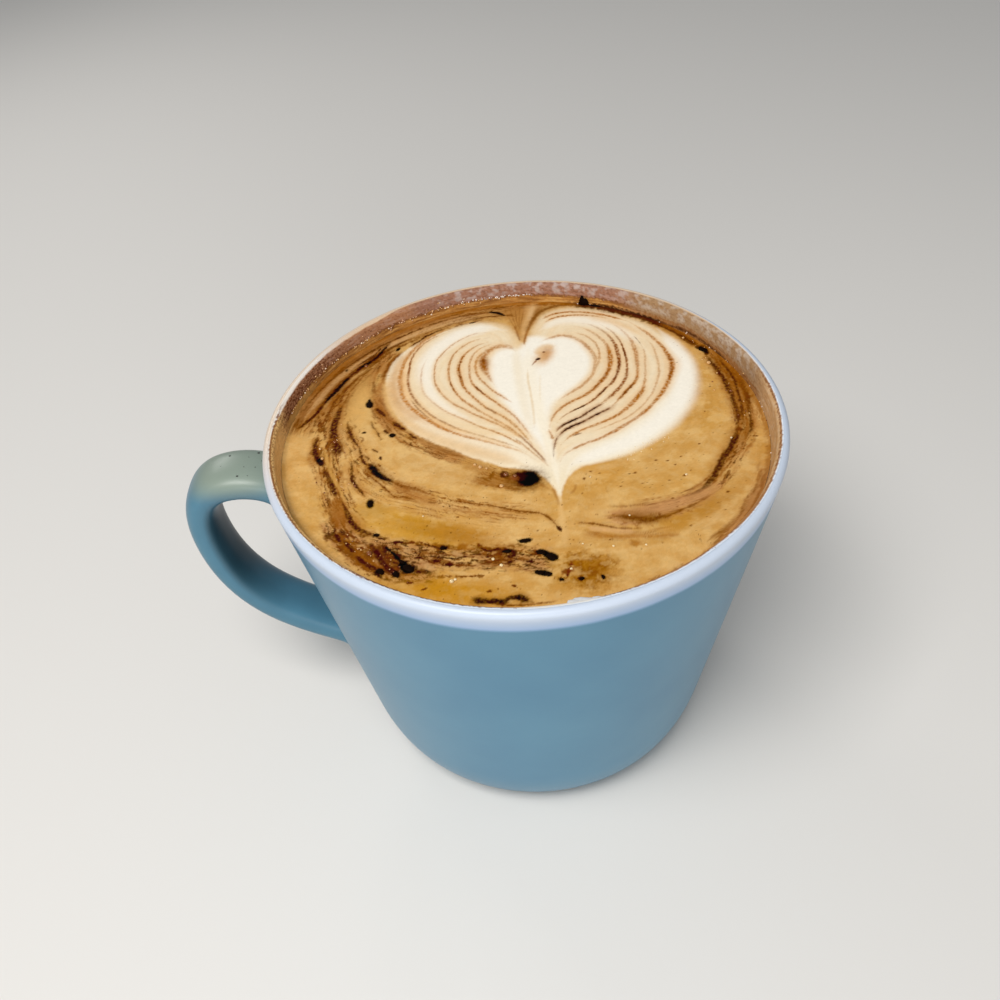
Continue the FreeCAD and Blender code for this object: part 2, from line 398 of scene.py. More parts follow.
    cv.streaks([(13, -24), (20, -24.4), (28, -22), (34, -18.4)], 2.6, [(PINK, 0.9, -0.5, 0.2, 0.1, 0.5), (rgb(214, 166, 116), 0.6, 0.1, 0.5, 0.12, 1.2), (BROWN, 0.75, 0.12, 0.5, 0.12, 1.8)], 820, 0.85)
    cv.streaks([(9, -27.6), (17, -29), (27, -28.4)], 1.8, L_SOFT, 840, 0.6)
    cv.streaks([(-2, 45.6), (8, 46.4), (18, 45), (27, 41.6)], 1.7, L_BROWN, 860, 0.9)
    cv.streaks([(29, 37.6), (36, 31.8), (41, 24.6), (44.4, 16), (45.6, 6), (45, -4)], 2.0, L_SOFT, 880, 0.8)
    cv.streaks([(31, -33), (36, -28), (41, -20.6), (44.6, -12)], 1.9, L_SOFT, 900, 0.8)
    DK = [DARK, BROWN, DARK, BLACK]
    cv.dashes([(-33, -25), (-28, -30.6), (-22, -34.4)], 3.6, 70, 1, DK, (0.5, 2.4), (0.15, 0.6))
    cv.dashes([(-26, -28.5), (-15, -31.4), (-4, -32.4), (4, -33.6)], 3.6, 90, 2, DK, (0.4, 2.0), (0.12, 0.45))
    cv.dashes([(-38, 12), (-38.4, 2), (-36.6, -8), (-34, -17)], 2.8, 60, 3, [BROWN, DARK, COCOA], (0.6, 2.8), (0.12, 0.42))
    cv.dashes([(-31, -3), (-27, -9.8), (-20, -14.6), (-10, -19)], 2.6, 55, 4, [BROWN, DARK, COCOA], (0.5, 2.6), (0.1, 0.34))
    cv.dashes([(-29.6, 20), (-28.8, 13), (-26, 6.5), (-20, 0)], 1.9, 55, 5, [BROWN, DARK, COCOA], (0.4, 2.0), (0.12, 0.4))
    cv.dashes([(-42, 15), (-38, 23), (-31, 31.6), (-20, 39.6), (-8, 43.6)], 3.0, 60, 6, [BROWN, COCOA, rgb(90, 48, 20)], (0.8, 4.0), (0.14, 0.4), 0.75)
    cv.dashes([(26, 40.8), (32, 36.6), (37, 30.6), (40.4, 23), (42.6, 14), (43.2, 5), (42, -4), (38, -11.6)], 1.9, 130, 7, [DARK, BROWN, COCOA], (0.3, 1.4), (0.14, 0.5))
    cv.dashes([(14, -24), (22, -24.8), (30, -21.6)], 2.2, 45, 8, [BROWN, COCOA], (0.4, 1.8), (0.1, 0.26))
    cv.dashes([(-6, -11), (0, -13)], 2.2, 34, 9, [DARK, BROWN], (0.3, 1.2), (0.14, 0.5))
    cv.dashes([(7, -36), (13, -38)], 3.0, 30, 10, [rgb(120, 60, 14), DARK], (0.3, 1.0), (0.14, 0.5))

    # long bands drawn round the far left wall
    for pts, w, a, col in (
            ([(-45.2, 8), (-42.8, 16), (-38.4, 25), (-31, 33.8), (-21.5, 40.6), (-11, 44.4)], 2.6, 0.75, rgb(160, 110, 64)),
            ([(-43.6, 11), (-40.6, 18), (-36.4, 25.4), (-30, 32), (-21.6, 38.4), (-12, 42.8), (-4, 44.6)], 1.1, 0.75, rgb(204, 158, 106)),
            ([(-44.6, 12.5), (-41.4, 19.6), (-36.4, 27), (-29.6, 34), (-20.6, 40)], 0.5, 0.8, rgb(74, 34, 10)),
            ([(-42.6, 9.6), (-40, 15.6), (-36.6, 22), (-32.4, 27.6), (-28, 32.4), (-22, 37)], 0.9, 0.8, rgb(84, 40, 12)),
            ([(-35, 26), (-30.6, 31.4), (-24.6, 36), (-16, 40.4), (-7, 43)], 0.8, 0.7, rgb(210, 166, 114)),
            ([(-40.6, 12.4), (-38.4, 17.6), (-35, 22.6), (-31.6, 26.6)], 0.8, 0.75, rgb(206, 160, 100)),
            ([(-33.6, 22), (-30.4, 27.6), (-26, 32.6), (-19, 37.6)], 0.5, 0.75, rgb(116, 66, 26)),
            ([(-38.6, 8), (-38.6, 13), (-36.4, 18.4), (-32.8, 24)], 0.5, 0.8, rgb(96, 50, 18)),
            ([(-35.2, 10), (-35.2, 15), (-33.4, 20), (-29.6, 26)], 0.45, 0.65, rgb(120, 70, 28)),
            ([(-26, 36.4), (-18, 41.2), (-9, 44.2), (-1, 45.2)], 0.4, 0.7, rgb(90, 46, 16)),
            ([(-2, 44), (6, 45.6), (14, 45.4)], 0.8, 0.6, rgb(120, 70, 28))):
        cv.stroke(pts, w, a, col, 0.7, 0.35, 0.35)
    # heavy cocoa in the lower left
    for pts, w, a, col in (
            ([(-35, -23.4), (-33.4, -25.6), (-30.6, -29.4), (-27, -33.2), (-25, -34.8)], [1.2, 1.8, 2.2, 2.0, 1.4], 0.85, rgb(84, 38, 10)),
            ([(-34.6, -24), (-32.6, -26.8), (-30, -30.4), (-27, -33.2)], [0.7, 1.2, 1.2, 1.2], 0.9, DARK),
            ([(-28.4, -26.6), (-26.6, -29.4), (-24.6, -32.6), (-22.6, -35.6)], [1.0, 1.8, 1.8, 1.4], 0.88, DARK),
            ([(-25.6, -27.4), (-23.4, -30), (-21.6, -32.6), (-19.6, -34.4), (-16, -35)], [0.5, 0.9, 1.6, 1.6, 0.6], 0.9, BLACK),
            ([(-30.6, -24.6), (-27.4, -25), (-25, -26.2)], 0.9, 0.85, DARK),
            ([(-24, -26.8), (-20.6, -27.5), (-17.4, -28.4), (-14.8, -29.2), (-11.6, -29.4)], [0.5, 0.7, 0.6, 1.0, 0.8], 0.85, BROWN),
            ([(-10, -28.8), (-7.6, -30.2), (-4.6, -30.7), (-2.4, -32)], [0.7, 1.1, 1.3, 0.8], 0.9, DARK),
            ([(-6, -31.6), (-4, -32.6), (-2.6, -34)], 1.4, 0.7, rgb(100, 46, 16)),
            ([(-20.4, -30.8), (-16.4, -32.3), (-12.6, -33.6), (-8, -34)], [0.6, 0.9, 0.9, 0.5], 0.85, BROWN),
            ([(-16.6, -36.2), (-13, -36.3), (-9, -36.6), (-6.4, -36.2)], 0.45, 0.75, BROWN),
            ([(-19, -29.2), (-15.6, -30.6), (-11.4, -31.6), (-8.4, -32)], 0.5, 0.6, BROWN),
            ([(0.4, -30.4), (1.6, -31.6), (2.6, -33.4)], 0.5, 0.7, BROWN),
            ([(-37.4, -12), (-36.4, -16), (-35.6, -20), (-34.4, -23)], 0.7, 0.6, rgb(96, 50, 18))):
        cv.stroke(pts, w, a, col, 0.5, 0.55, 0.45, -0.02, 0.2)
    cv.dashes([(-34.6, -23.8), (-31.6, -28.2), (-27.4, -32.4), (-23.4, -35.4)], 2.4, 70, 31, [DARK, rgb(44, 16, 4), BROWN, rgb(90, 36, 12)], (0.8, 2.4), (0.35, 1.0), 0.95)
    cv.dashes([(-27.5, -27.2), (-25.4, -30.6), (-22.8, -34.4)], 1.6, 34, 32, [DARK, rgb(44, 16, 4)], (0.8, 2.2), (0.35, 1.0), 0.95)
    cv.dashes([(-24, -28.2), (-15, -30.6), (-5, -32.0), (3, -33.0)], 2.6, 64, 33, [DARK, BROWN, rgb(44, 16, 4)], (0.6, 2.0), (0.22, 0.62), 0.95)
    cv.dashes([(-40.4, 13), (-39.6, 6), (-39.6, -1), (-37.8, -7), (-35.6, -13)], 1.7, 60, 34, [DARK, BROWN, rgb(84, 42, 14)], (0.6, 2.4), (0.2, 0.6), 0.9)
    cv.dashes([(-34.6, 9), (-33.4, 3), (-31, -4), (-27.6, -9)], 1.5, 40, 35, [DARK, BROWN, rgb(84, 42, 14)], (0.6, 2.4), (0.16, 0.5), 0.9)
    for bx, by, br in ((-29.4, -27.6, 0.8), (-31.4, -27.4, 0.5), (-26.6, -31.4, 0.6), (-17.4, -33.6, 0.9), (-12.4, -31.0, 0.8), (-21.4, -29.2, 0.7)):
        cv.blob(bx, by, br, br * 0.7, rgb(204, 158, 104), 0.8, 0.6, -30, 0.5)
    soft(-32.4, 14.6, 2.2, 7.0, rgb(218, 170, 100), 0.8, -6)
    soft(-20.5, -23.6, 9, 2.4, rgb(202, 150, 58), 0.55, -24)
    soft(-12.5, -26.4, 9, 1.9, rgb(164, 104, 18), 0.6, -22)
    soft(-15, -39.4, 9, 2.6, rgb(192, 134, 38), 0.55, -12)
    soft(31, -23.6, 6.5, 1.5, rgb(178, 122, 48), 0.5, 32)

    # ---------------------------------------------------------------- heart
    heart_w = heart + 0.18 * cv.w1
    # pale halo where milk thins into crema, wide on the lower right, sharp on the lower left
    halo = 2.6 * sstep(-4, 14, x + y * 0.4) * sstep(-14, 2, y) + 0.7
    body = sstep(-0.25, 1.0, heart_w / halo * 1.2 + 0.1)
    cv.mix(allk, body, CREAM)
    # inside tint bands: tan where crema was folded in, white where the milk is thick
    cv.mix(allk, sstep(0.5, 3.5, heart) * 0.25, MILK)
    band = cv.area([(4.2, 36), (7, 40.6), (12, 42.2), (18, 41), (24, 38), (29, 32.5), (31.6, 26), (32.6, 20), (31, 14), (27.6, 8), (22, 2.8),
                    (16, -1.2), (10, -4), (7.2, -7.5), (6.2, -9), (5, -5), (2, -1), (-2, 0), (-8, 1.2), (-15, 4.2), (-20, 9), (-23.5, 15),
                    (-24.8, 21), (-24, 27), (-21, 33), (-16, 37.6), (-10, 40), (-4, 39.8), (0, 36.5), (2, 31)])
    bi = sstep(-0.4, 0.9, band)
    cv.mix(allk, bi * 0.55, SAND)
    cv.mix(allk, bi * sstep(-0.2, 0.4, fbm(band * 0.9 + 3, th * 2.2, 131, 2)) * 0.5, CREAM)
    core = cv.area([(2.9, 33.5), (5, 33.8), (7.5, 32.6), (10, 33.1), (12, 32.3), (13.8, 30.6), (15.2, 27.6), (15.9, 24.2), (15.6, 21), (14.4, 18), (12.4, 15.2),
                    (9.6, 12.2), (7.2, 9.5), (5.9, 5), (5.2, 0), (5.1, -5), (4.9, -8), (3.6, -4), (1.4, 1), (-0.6, 5), (-2.4, 9.5), (-4.2, 13.6), (-5.4, 18),
                    (-6.0, 22.5), (-5.6, 26.2), (-3.8, 29.4), (-1.5, 30.3), (0.4, 29.2), (1.7, 31)])
    cv.mix(allk, sstep(-0.9, 1.4, core), MILK)
    # thick plain milk outside the ripples, right and lower right
    wr = [(30.5, 33.5), (33.0, 27), (34.4, 20), (33.6, 13), (31.2, 7), (27, 1.5), (21.5, -3.2), (15, -6.4), (9.8, -9), (8, -12)]
    cv.stroke(wr, [1.6, 2.6, 3.6, 4.4, 4.8, 4.8, 4.6, 4.0, 3.0, 1.4], [0.6, 0.85, 0.95, 1, 1, 1, 1, 0.95, 0.9, 0.6], MILK, soft=0.75, jag=0.2)
    # outer left ring of milk
    cv.stroke([(-23, 32), (-25.4, 27), (-26, 21), (-25.4, 15), (-23.2, 10), (-19.5, 5), (-14.5, 1), (-9, -2.2), (-3, -5.2), (2, -8.6), (5.2, -13.5)],
              [0.8, 1.2, 1.6, 2.0, 2.4, 2.6, 3.0, 3.4, 3.2, 2.6, 1.4], [0.3, 0.5, 0.6, 0.75, 0.9, 0.9, 0.9, 0.85, 0.8, 0.8, 0.6], rgb(248, 232, 204), soft=0.7, jag=0.2)
    # left lobe's broad white
    cv.stroke([(-1.6, 36.6), (-6, 38), (-11, 36.8), (-15.4, 33), (-18.4, 28), (-19.2, 22), (-18, 16), (-15, 11), (-11, 7), (-7, 4)],
              [2.0, 3.4, 3.8, 3.8, 3.6, 3.2, 2.6, 2.2, 1.6, 1.0], [0.5, 0.8, 0.85, 0.85, 0.8, 0.75, 0.7, 0.6, 0.45, 0.3], MILK, soft=0.75, jag=0.2)
    cv.stroke([(5.4, 35.4), (10, 38.6), (15, 38.2), (20, 35.6), (24, 31.6), (26.2, 27)], [1.4, 2.6, 3.0, 3.0, 2.4, 1.6], [0.4, 0.65, 0.7, 0.65, 0.5, 0.3], MILK, soft=0.8)
    cv.stroke([(2.8, 29), (2.7, 22), (3.2, 14), (4.3, 5), (5.6, -4), (6.3, -12), (6.5, -17)], [2.6, 3.0, 2.8, 2.4, 1.8, 1.1, 0.6], [0.7, 0.6, 0.7, 0.9, 0.9, 0.8, 0.6], rgb(250, 238, 214), soft=0.8)

    # ---- ripples, right lobe, inner to outer
    def rip(pts, w, a, col=RIPPLE, soft=0.6, jag=0.17, broken=0.5, under=True, h=-0.02):
        w = np.atleast_1d(w).astype(float)
        if under:
            cv.stroke(pts, w * 2.8, np.minimum(np.atleast_1d(a) * 0.62, 0.6), PEACH, 0.9, 0.12, 0.0)
        cv.stroke(pts, w * 1.15, np.minimum(np.atleast_1d(a) * 1.3, 1.0), col, soft, jag, broken, h)

    def dash(pts, w, a=0.9, col=DARK, broken=0.15):
        cv.stroke(pts, w, a, col, 0.45, 0.14, broken, -0.02, 0.3, ends=0.25)

    rip([(5.4, 31.2), (7.7, 32.5), (10, 33.1), (11.9, 32.5), (13.5, 31.1), (14.8, 29.3), (15.9, 26.7), (16.6, 24), (16.3, 21), (15.4, 18), (13.5, 15.2), (11, 13), (9.5, 11.8), (7.8, 10.1)],
        [0.5, 0.6, 0.7, 0.7, 0.7, 0.8, 0.7, 0.7, 0.6, 0.6, 0.6, 0.5, 0.5, 0.3], [0.25, 0.45, 0.5, 0.4, 0.45, 0.55, 0.45, 0.4, 0.4, 0.5, 0.5, 0.5, 0.45, 0.2])
    rip([(13, 33.8), (15.4, 32.2), (17.2, 29), (17.6, 25.2), (17.2, 22.5), (16.4, 20)], 0.4, [0.2, 0.35, 0.4, 0.55, 0.4, 0.2])
    rip([(12.5, 36.4), (15, 35.2), (17.4, 32.6), (19.2, 29), (19.8, 25), (19.6, 22), (19.1, 20), (18.3, 17.8), (17.2, 16), (15, 13), (13, 11.3), (10.9, 10), (9, 8.6), (7.6, 7), (6.6, 5.2), (6.1, 3.5), (5.6, 1.5)],
        [0.3, 0.4, 0.5, 0.5, 0.6, 0.9, 1.0, 0.9, 0.8, 0.8, 0.7, 0.6, 0.5, 0.5, 0.4, 0.4, 0.3], [0.2, 0.3, 0.35, 0.4, 0.5, 0.8, 0.85, 0.8, 0.75, 0.85, 0.8, 0.75, 0.7, 0.7, 0.6, 0.5, 0.3], RIPPLE)
    dash([(19.4, 21.5), (19.0, 19.6), (18.0, 17.4), (16.9, 15.5), (15.3, 13.4), (14.4, 12.4)], 0.45, 0.7, RIPPLE_DARK, 0.4)
    dash([(15.4, 13.8), (14.9, 12.7)], 0.6, 0.8)
    rip([(14, 37.4), (17, 36), (19.6, 32.8), (21, 29), (21.4, 25.5), (21.4, 22.5), (21.1, 20), (20.4, 17.5), (19.3, 15.2), (17.6, 13.2), (16.3, 11.4), (15.1, 10), (13.5, 8.6), (11.9, 7.6), (10.2, 6.5), (8.8, 5.4), (7.8, 4.2), (7, 2.9)],
        [0.3, 0.3, 0.4, 0.4, 0.5, 0.7, 0.7, 0.7, 0.6, 0.5, 0.5, 0.45, 0.45, 0.45, 0.35, 0.3, 0.3, 0.3], [0.15, 0.25, 0.35, 0.4, 0.6, 0.85, 0.9, 0.9, 0.85, 0.85, 0.85, 0.8, 0.9, 0.85, 0.6, 0.5, 0.5, 0.4], RIPPLE_DARK)
    dash([(21.5, 23), (21.2, 20.4), (20.6, 18.3), (19.9, 16.4), (19.4, 15.3)], 0.40, 0.75, BROWN, 0.45)
    dash([(18.1, 13.8), (17, 12.2), (16.1, 11.1)], 0.36, 0.75)
    dash([(13.8, 8.8), (12.7, 8.0), (11.4, 7.3), (10.6, 6.8)], 0.34, 0.9)
    rip([(18.6, 36.4), (20.8, 33.4), (22.2, 30), (22.7, 27), (22.9, 24.5), (22.95, 22), (22.8, 20), (22.3, 17), (21.5, 15), (20, 12.5), (17.9, 10), (16.2, 8.3)],
        [0.25, 0.3, 0.3, 0.35, 0.4, 0.4, 0.35, 0.5, 0.55, 0.6, 0.6, 0.6], [0.2, 0.35, 0.4, 0.6, 0.8, 0.8, 0.8, 0.8, 0.8, 0.8, 0.8, 0.8], RIPPLE_DARK)
    dash([(22.4, 28.4), (22.7, 26.5), (22.8, 24.6), (22.9, 22.5)], 0.26, 0.8, BROWN)
    # the two heavy black ripples near the tip
    cv.stroke([(17.4, 9.0), (16.2, 8.2), (15.2, 7.4), (13.6, 6.2), (11.9, 4.8), (10.0, 3.6), (8.9, 2.9), (7.9, 2.1), (7.1, 1.0), (6.8, -0.2)], [1.3, 1.5, 1.5, 1.4, 1.2, 1.0, 0.8, 0.5], 0.34, RIPPLE, 0.8)
    cv.stroke([(17.6, 9.0), (16.3, 8.1), (15.1, 7.3), (13.6, 6.1), (11.9, 4.65), (9.9, 3.5), (8.5, 2.6), (7.6, 1.6), (6.9, 0.4)], [0.3, 0.5, 0.6, 0.55, 0.7, 0.7, 0.55, 0.4], 0.75, rgb(120, 62, 22), 0.7, 0.2)
    cv.stroke([(16.9, 8.5), (16.2, 8.05), (15.1, 7.3), (13.6, 6.1), (11.9, 4.65), (9.9, 3.5), (8.5, 2.6), (7.7, 1.8), (7.3, 1.2)], [0.10, 0.20, 0.26, 0.18, 0.36, 0.36, 0.20, 0.10], [0.5, 0.9, 0.95, 0.8, 1, 1, 0.8, 0.4], INK, 0.45, 0.2, 0.15, -0.04, 0.3)
    cv.stroke([(19.8, 8.8), (18.4, 7.2), (17.0, 6.2), (16.0, 5.7), (14.1, 4.4), (12.5, 3.3), (10.9, 2.4), (9.3, 1.4), (8.0, 0.2), (7.3, -0.7), (6.7, -1.9), (6.3, -3.6), (6.1, -5.4)], [1.0, 1.4, 1.6, 1.4, 1.3, 1.1, 0.9, 0.5], 0.34, RIPPLE, 0.8)
    cv.stroke([(19.0, 7.8), (17.1, 6.3), (16.2, 5.8), (14.3, 4.5), (12.6, 3.35), (10.9, 2.45), (9.3, 1.45), (8.1, 0.3), (7.2, -0.9)], [0.3, 0.55, 0.65, 0.6, 0.6, 0.8, 0.8, 0.6, 0.4], 0.75, rgb(120, 62, 22), 0.7, 0.2)
    cv.stroke([(18.0, 7.0), (17.1, 6.3), (16.2, 5.8), (14.3, 4.5), (12.6, 3.35), (10.9, 2.45), (9.3, 1.45), (8.1, 0.3), (7.4, -0.5)], [0.10, 0.26, 0.30, 0.16, 0.22, 0.44, 0.48, 0.28, 0.12], [0.5, 0.9, 0.95, 0.7, 0.85, 1, 1, 0.85, 0.5], INK, 0.45, 0.2, 0.1, -0.04, 0.3)
    cv.stroke([(7.3, -0.7), (6.8, -1.8), (6.4, -3.6), (6.1, -5.2), (6.0, -7.4)], [0.34, 0.3, 0.26, 0.2], [0.85, 0.7, 0.6, 0.4], BROWN, 0.6, 0.1)
    rip([(5.6, 1.5), (6.0, -0.2), (6.2, -1.6)], 0.4, 0.5, RIPPLE)
    rip([(20.5, 37.6), (23, 33.6), (24.6, 29.4), (25.1, 25), (25.0, 22), (24.9, 20), (24.6, 17), (23.8, 14.8), (21.9, 12.2), (20.3, 9.9), (18.6, 7.6)],
        [0.3, 0.3, 0.35, 0.6, 0.8, 0.7, 0.5, 0.5, 0.55, 0.6, 0.5], [0.15, 0.2, 0.25, 0.5, 0.6, 0.6, 0.6, 0.75, 0.85, 0.85, 0.7], RIPPLE)
    dash([(23.9, 15.0), (22.6, 13.0), (21.1, 11.0), (20.0, 9.4)], 0.32, 0.75, BROWN)
    dash([(24.3, 16.2), (24.0, 15.4)], 0.5, 0.8)
    dash([(25.4, 30.9), (25.9, 29.6), (26.2, 28.6), (26.6, 27.6)], 0.26, 0.7, BROWN, 0.5)
    rip([(26.4, 28.2), (26.9, 25), (26.7, 22), (26.5, 20), (26.2, 17.5), (25.8, 15), (25.1, 12.2), (23.9, 10), (22.9, 8.5), (21.5, 6.8), (19.8, 5), (17.5, 3.4), (15.2, 2.2), (13, 1.2), (11.2, 0.2), (9.2, -1.4), (7.6, -3.4)],
        [0.3, 0.3, 0.3, 0.35, 0.35, 0.35, 0.5, 0.8, 0.9, 0.7, 0.6, 0.6, 0.5, 0.45, 0.5, 0.4, 0.4], [0.3, 0.4, 0.4, 0.4, 0.4, 0.5, 0.6, 0.8, 0.85, 0.7, 0.75, 0.75, 0.65, 0.55, 0.75, 0.7, 0.6], RIPPLE)
    dash([(11.9, -0.2), (10.9, -0.6), (10.1, -1.0)], 0.35, 0.7, BROWN)
    dash([(25.2, 12.3), (25.0, 11.6)], 0.35, 0.6)
    rip([(27.8, 29.5), (28.8, 27), (29.1, 24.5), (29.2, 22), (29.2, 20), (28.9, 17), (28.3, 14.8), (27.4, 12.2), (26.4, 10), (25, 7.8), (23.2, 5.6), (21, 3.6), (18.6, 2.2), (16, 0.9), (13.6, -0.2)],
        0.35, [0.25, 0.35, 0.35, 0.35, 0.4, 0.4, 0.4, 0.35, 0.35, 0.35, 0.35, 0.35, 0.35, 0.3, 0.2], RIPPLE)
    rip([(24.5, 37.0), (25.8, 35.2), (27.2, 33.2), (28.6, 31), (29.8, 28.6), (30.7, 26.5), (31.4, 24), (31.9, 21.5), (31.9, 19.5), (31.4, 17), (30.7, 15), (29.8, 12.8), (28.8, 10.8), (27.4, 8.6), (26.2, 6.9), (24.4, 4.8), (22.6, 3.1), (20.6, 1.5), (18.2, -0.3), (15.4, -2.1), (12.5, -3.4), (10.3, -4.6), (8.2, -6.2), (7.1, -8.4)],
        [0.4, 0.5, 0.6, 0.6, 0.6, 0.65, 0.8, 1.0, 1.0, 0.8, 0.8, 0.8, 0.7, 0.5, 0.7, 0.6, 0.6, 0.7, 0.6, 0.5, 0.5, 0.5, 0.5, 0.4],
        [0.3, 0.4, 0.5, 0.55, 0.65, 0.75, 0.9, 1.0, 1.0, 0.9, 0.9, 0.85, 0.8, 0.6, 0.75, 0.6, 0.6, 0.7, 0.7, 0.6, 0.6, 0.6, 0.55, 0.4], RIPPLE)
    dash([(31.2, 24.8), (31.7, 22.4), (31.9, 20.4), (31.5, 17.8), (30.8, 15.4), (30.2, 13.8)], 0.5, 0.75, RIPPLE_DARK, 0.3)
    dash([(32.3, 21.3), (31.7, 20.9)], 0.4, 0.8, BROWN)
    dash([(29.6, 12.2), (28.9, 10.8)], 0.5, 0.75, BROWN, 0.4)
    dash([(18.4, -0.6), (17.5, -1.0)], 0.45, 0.85)
    rip([(6.0, 39.6), (8.5, 41.3), (11, 41.9), (14, 41.7), (17, 40.9), (20, 39.6), (22, 38.4), (24.3, 36.9)], 0.5, [0.4, 0.75, 0.75, 0.7, 0.75, 0.8, 0.75, 0.5], RIPPLE)
    rip([(6.6, 38.2), (8.5, 39.8), (10.5, 40.4), (13, 40.5), (15.5, 40.2), (18.5, 39.3), (20.8, 38.0)], 0.45, [0.35, 0.7, 0.75, 0.65, 0.55, 0.4, 0.3], RIPPLE)
    cv.stroke([(16, 39), (20, 37.6), (24, 34.8), (27.2, 31)], 1.8, [0.2, 0.4, 0.4, 0.2], PEACH, 0.9)

    # ---- ripples, left lobe, outer to inner
    rip([(-12.4, 39.4), (-15.1, 38.3), (-17.4, 36.9), (-19.6, 35.0), (-21.3, 32.8), (-22.6, 30.6), (-23.6, 28), (-24.2, 25), (-24.4, 22), (-24.3, 20), (-23.8, 16.1), (-22.5, 12.8), (-20.9, 10.3), (-19, 8), (-17, 5.8), (-14.8, 3.9), (-12.2, 2), (-9.3, 0.5), (-6, -1.2), (-2.6, -3), (0.4, -4.9), (3.2, -8)],
        [0.5, 0.5, 0.6, 0.7, 0.7, 0.7, 0.7, 0.9, 0.9, 0.9, 0.8, 0.8, 0.8, 0.8, 0.7, 0.6, 0.5, 0.5, 0.45, 0.4, 0.35, 0.3], [0.4, 0.5, 0.6, 0.65, 0.7, 0.7, 0.8, 0.9, 0.9, 0.85, 0.85, 0.8, 0.85, 0.9, 0.8, 0.7, 0.6, 0.5, 0.45, 0.35, 0.3, 0.2], rgb(190, 126, 62))
    rip([(-14, 38.0), (-17.6, 35.9), (-19.9, 33.6), (-21.3, 31.2), (-22.2, 28.6), (-22.6, 25), (-22.7, 20), (-21.9, 16.1), (-20.6, 13.2), (-19.3, 10.9), (-17.4, 8.3), (-15.1, 6.1), (-12.5, 3.9), (-9.9, 2.3), (-7.4, 0.9), (-4.8, -0.6), (-1.8, -2.4), (1, -4.8)],
        [0.3, 0.35, 0.35, 0.35, 0.4, 0.4, 0.4, 0.45, 0.45, 0.5, 0.45, 0.4, 0.4, 0.35, 0.35, 0.35, 0.3, 0.3], [0.3, 0.45, 0.55, 0.6, 0.7, 0.75, 0.75, 0.85, 0.9, 0.9, 0.8, 0.7, 0.65, 0.55, 0.5, 0.5, 0.4, 0.3], RIPPLE_DARK)
    cv.stroke([(-23.4, 27), (-23.6, 21), (-22.9, 16.2), (-20.6, 11.9), (-17.6, 7.7), (-14, 4.4), (-9.6, 1.6), (-5, -1), (0, -4.4)], 1.0, [0.4, 0.6, 0.6, 0.6, 0.6, 0.5, 0.4, 0.35, 0.3], rgb(236, 190, 132), 0.7)
    dash([(-22.3, 15.2), (-21.2, 12.6), (-19.8, 10.2), (-18.2, 8.0), (-16.8, 6.3)], 0.30, 0.7, BROWN, 0.5)
    dash([(-21.2, 14.0), (-20.2, 12.2), (-18.9, 10.4)], 0.24, 0.6, DARK, 0.5)
    rip([(-18.6, 29), (-19.7, 25.4), (-20, 22), (-19.9, 19.6), (-19.3, 16.1), (-18, 13.8), (-16.4, 11.5), (-14.5, 9.3), (-12.5, 7.7), (-9.9, 5.6), (-7.6, 3.7), (-5.1, 2.1), (-2.8, 0.3), (-0.6, -1.8), (1.6, -4.4)],
        0.3, [0.15, 0.25, 0.3, 0.3, 0.35, 0.35, 0.4, 0.45, 0.5, 0.6, 0.7, 0.75, 0.7, 0.6, 0.4], RIPPLE)
    rip([(-4.6, 36.2), (-7.7, 36.4), (-9.9, 35.5), (-12.2, 33.9), (-14.1, 31.9), (-15.8, 29.3), (-16.9, 26.7), (-17.2, 23.5), (-17.1, 20), (-16.3, 17), (-14.6, 13.8), (-12.8, 11.5), (-10.6, 9.5), (-8, 7.2), (-5.1, 4.9), (-2.8, 2.9), (-0.9, 0.8), (1.0, -2.0)],
        [0.25, 0.3, 0.3, 0.3, 0.3, 0.35, 0.35, 0.35, 0.35, 0.35, 0.35, 0.4, 0.4, 0.4, 0.4, 0.4, 0.4, 0.3], [0.2, 0.3, 0.35, 0.4, 0.45, 0.45, 0.5, 0.55, 0.55, 0.5, 0.5, 0.55, 0.6, 0.65, 0.7, 0.75, 0.75, 0.5], RIPPLE)
    rip([(-5.0, 34.3), (-8, 33.9), (-9.9, 32.9), (-11.9, 30.9), (-13.3, 28.6), (-14.1, 25.4), (-14.2, 22.2), (-13.8, 19), (-12.8, 15.8), (-10.9, 12.5), (-8.3, 9.4), (-6.1, 7.1), (-3.8, 4.9), (-1.9, 2.7), (-0.2, 0.4), (1.6, -2.6)],
        [0.3, 0.3, 0.35, 0.35, 0.4, 0.4, 0.4, 0.4, 0.4, 0.4, 0.4, 0.4, 0.4, 0.4, 0.4, 0.3], [0.3, 0.45, 0.5, 0.5, 0.55, 0.6, 0.6, 0.7, 0.7, 0.65, 0.6, 0.6, 0.7, 0.75, 0.75, 0.5], RIPPLE)
    rip([(-5.0, 33.0), (-8, 31.7), (-9.9, 30), (-11.1, 28), (-11.9, 25.4), (-12, 22.8), (-11.5, 19.6), (-10.9, 17), (-9.6, 14.5), (-8, 11.9), (-6.4, 9.7), (-4.8, 8.1), (-2.8, 6.2), (-1.5, 4.3), (-0.2, 2.2), (1.2, -0.6), (2.8, -4)],
        [0.3, 0.35, 0.4, 0.55, 0.65, 0.7, 0.6, 0.5, 0.45, 0.45, 0.5, 0.5, 0.45, 0.4, 0.35, 0.3, 0.3], [0.3, 0.45, 0.55, 0.8, 0.8, 0.85, 0.85, 0.8, 0.7, 0.7, 0.8, 0.8, 0.75, 0.7, 0.7, 0.6, 0.4], RIPPLE)
    dash([(-10.9, 28.6), (-11.6, 26.6), (-12, 23.6), (-11.7, 20.6), (-11.1, 18.2)], 0.28, 0.8, BROWN, 0.45)
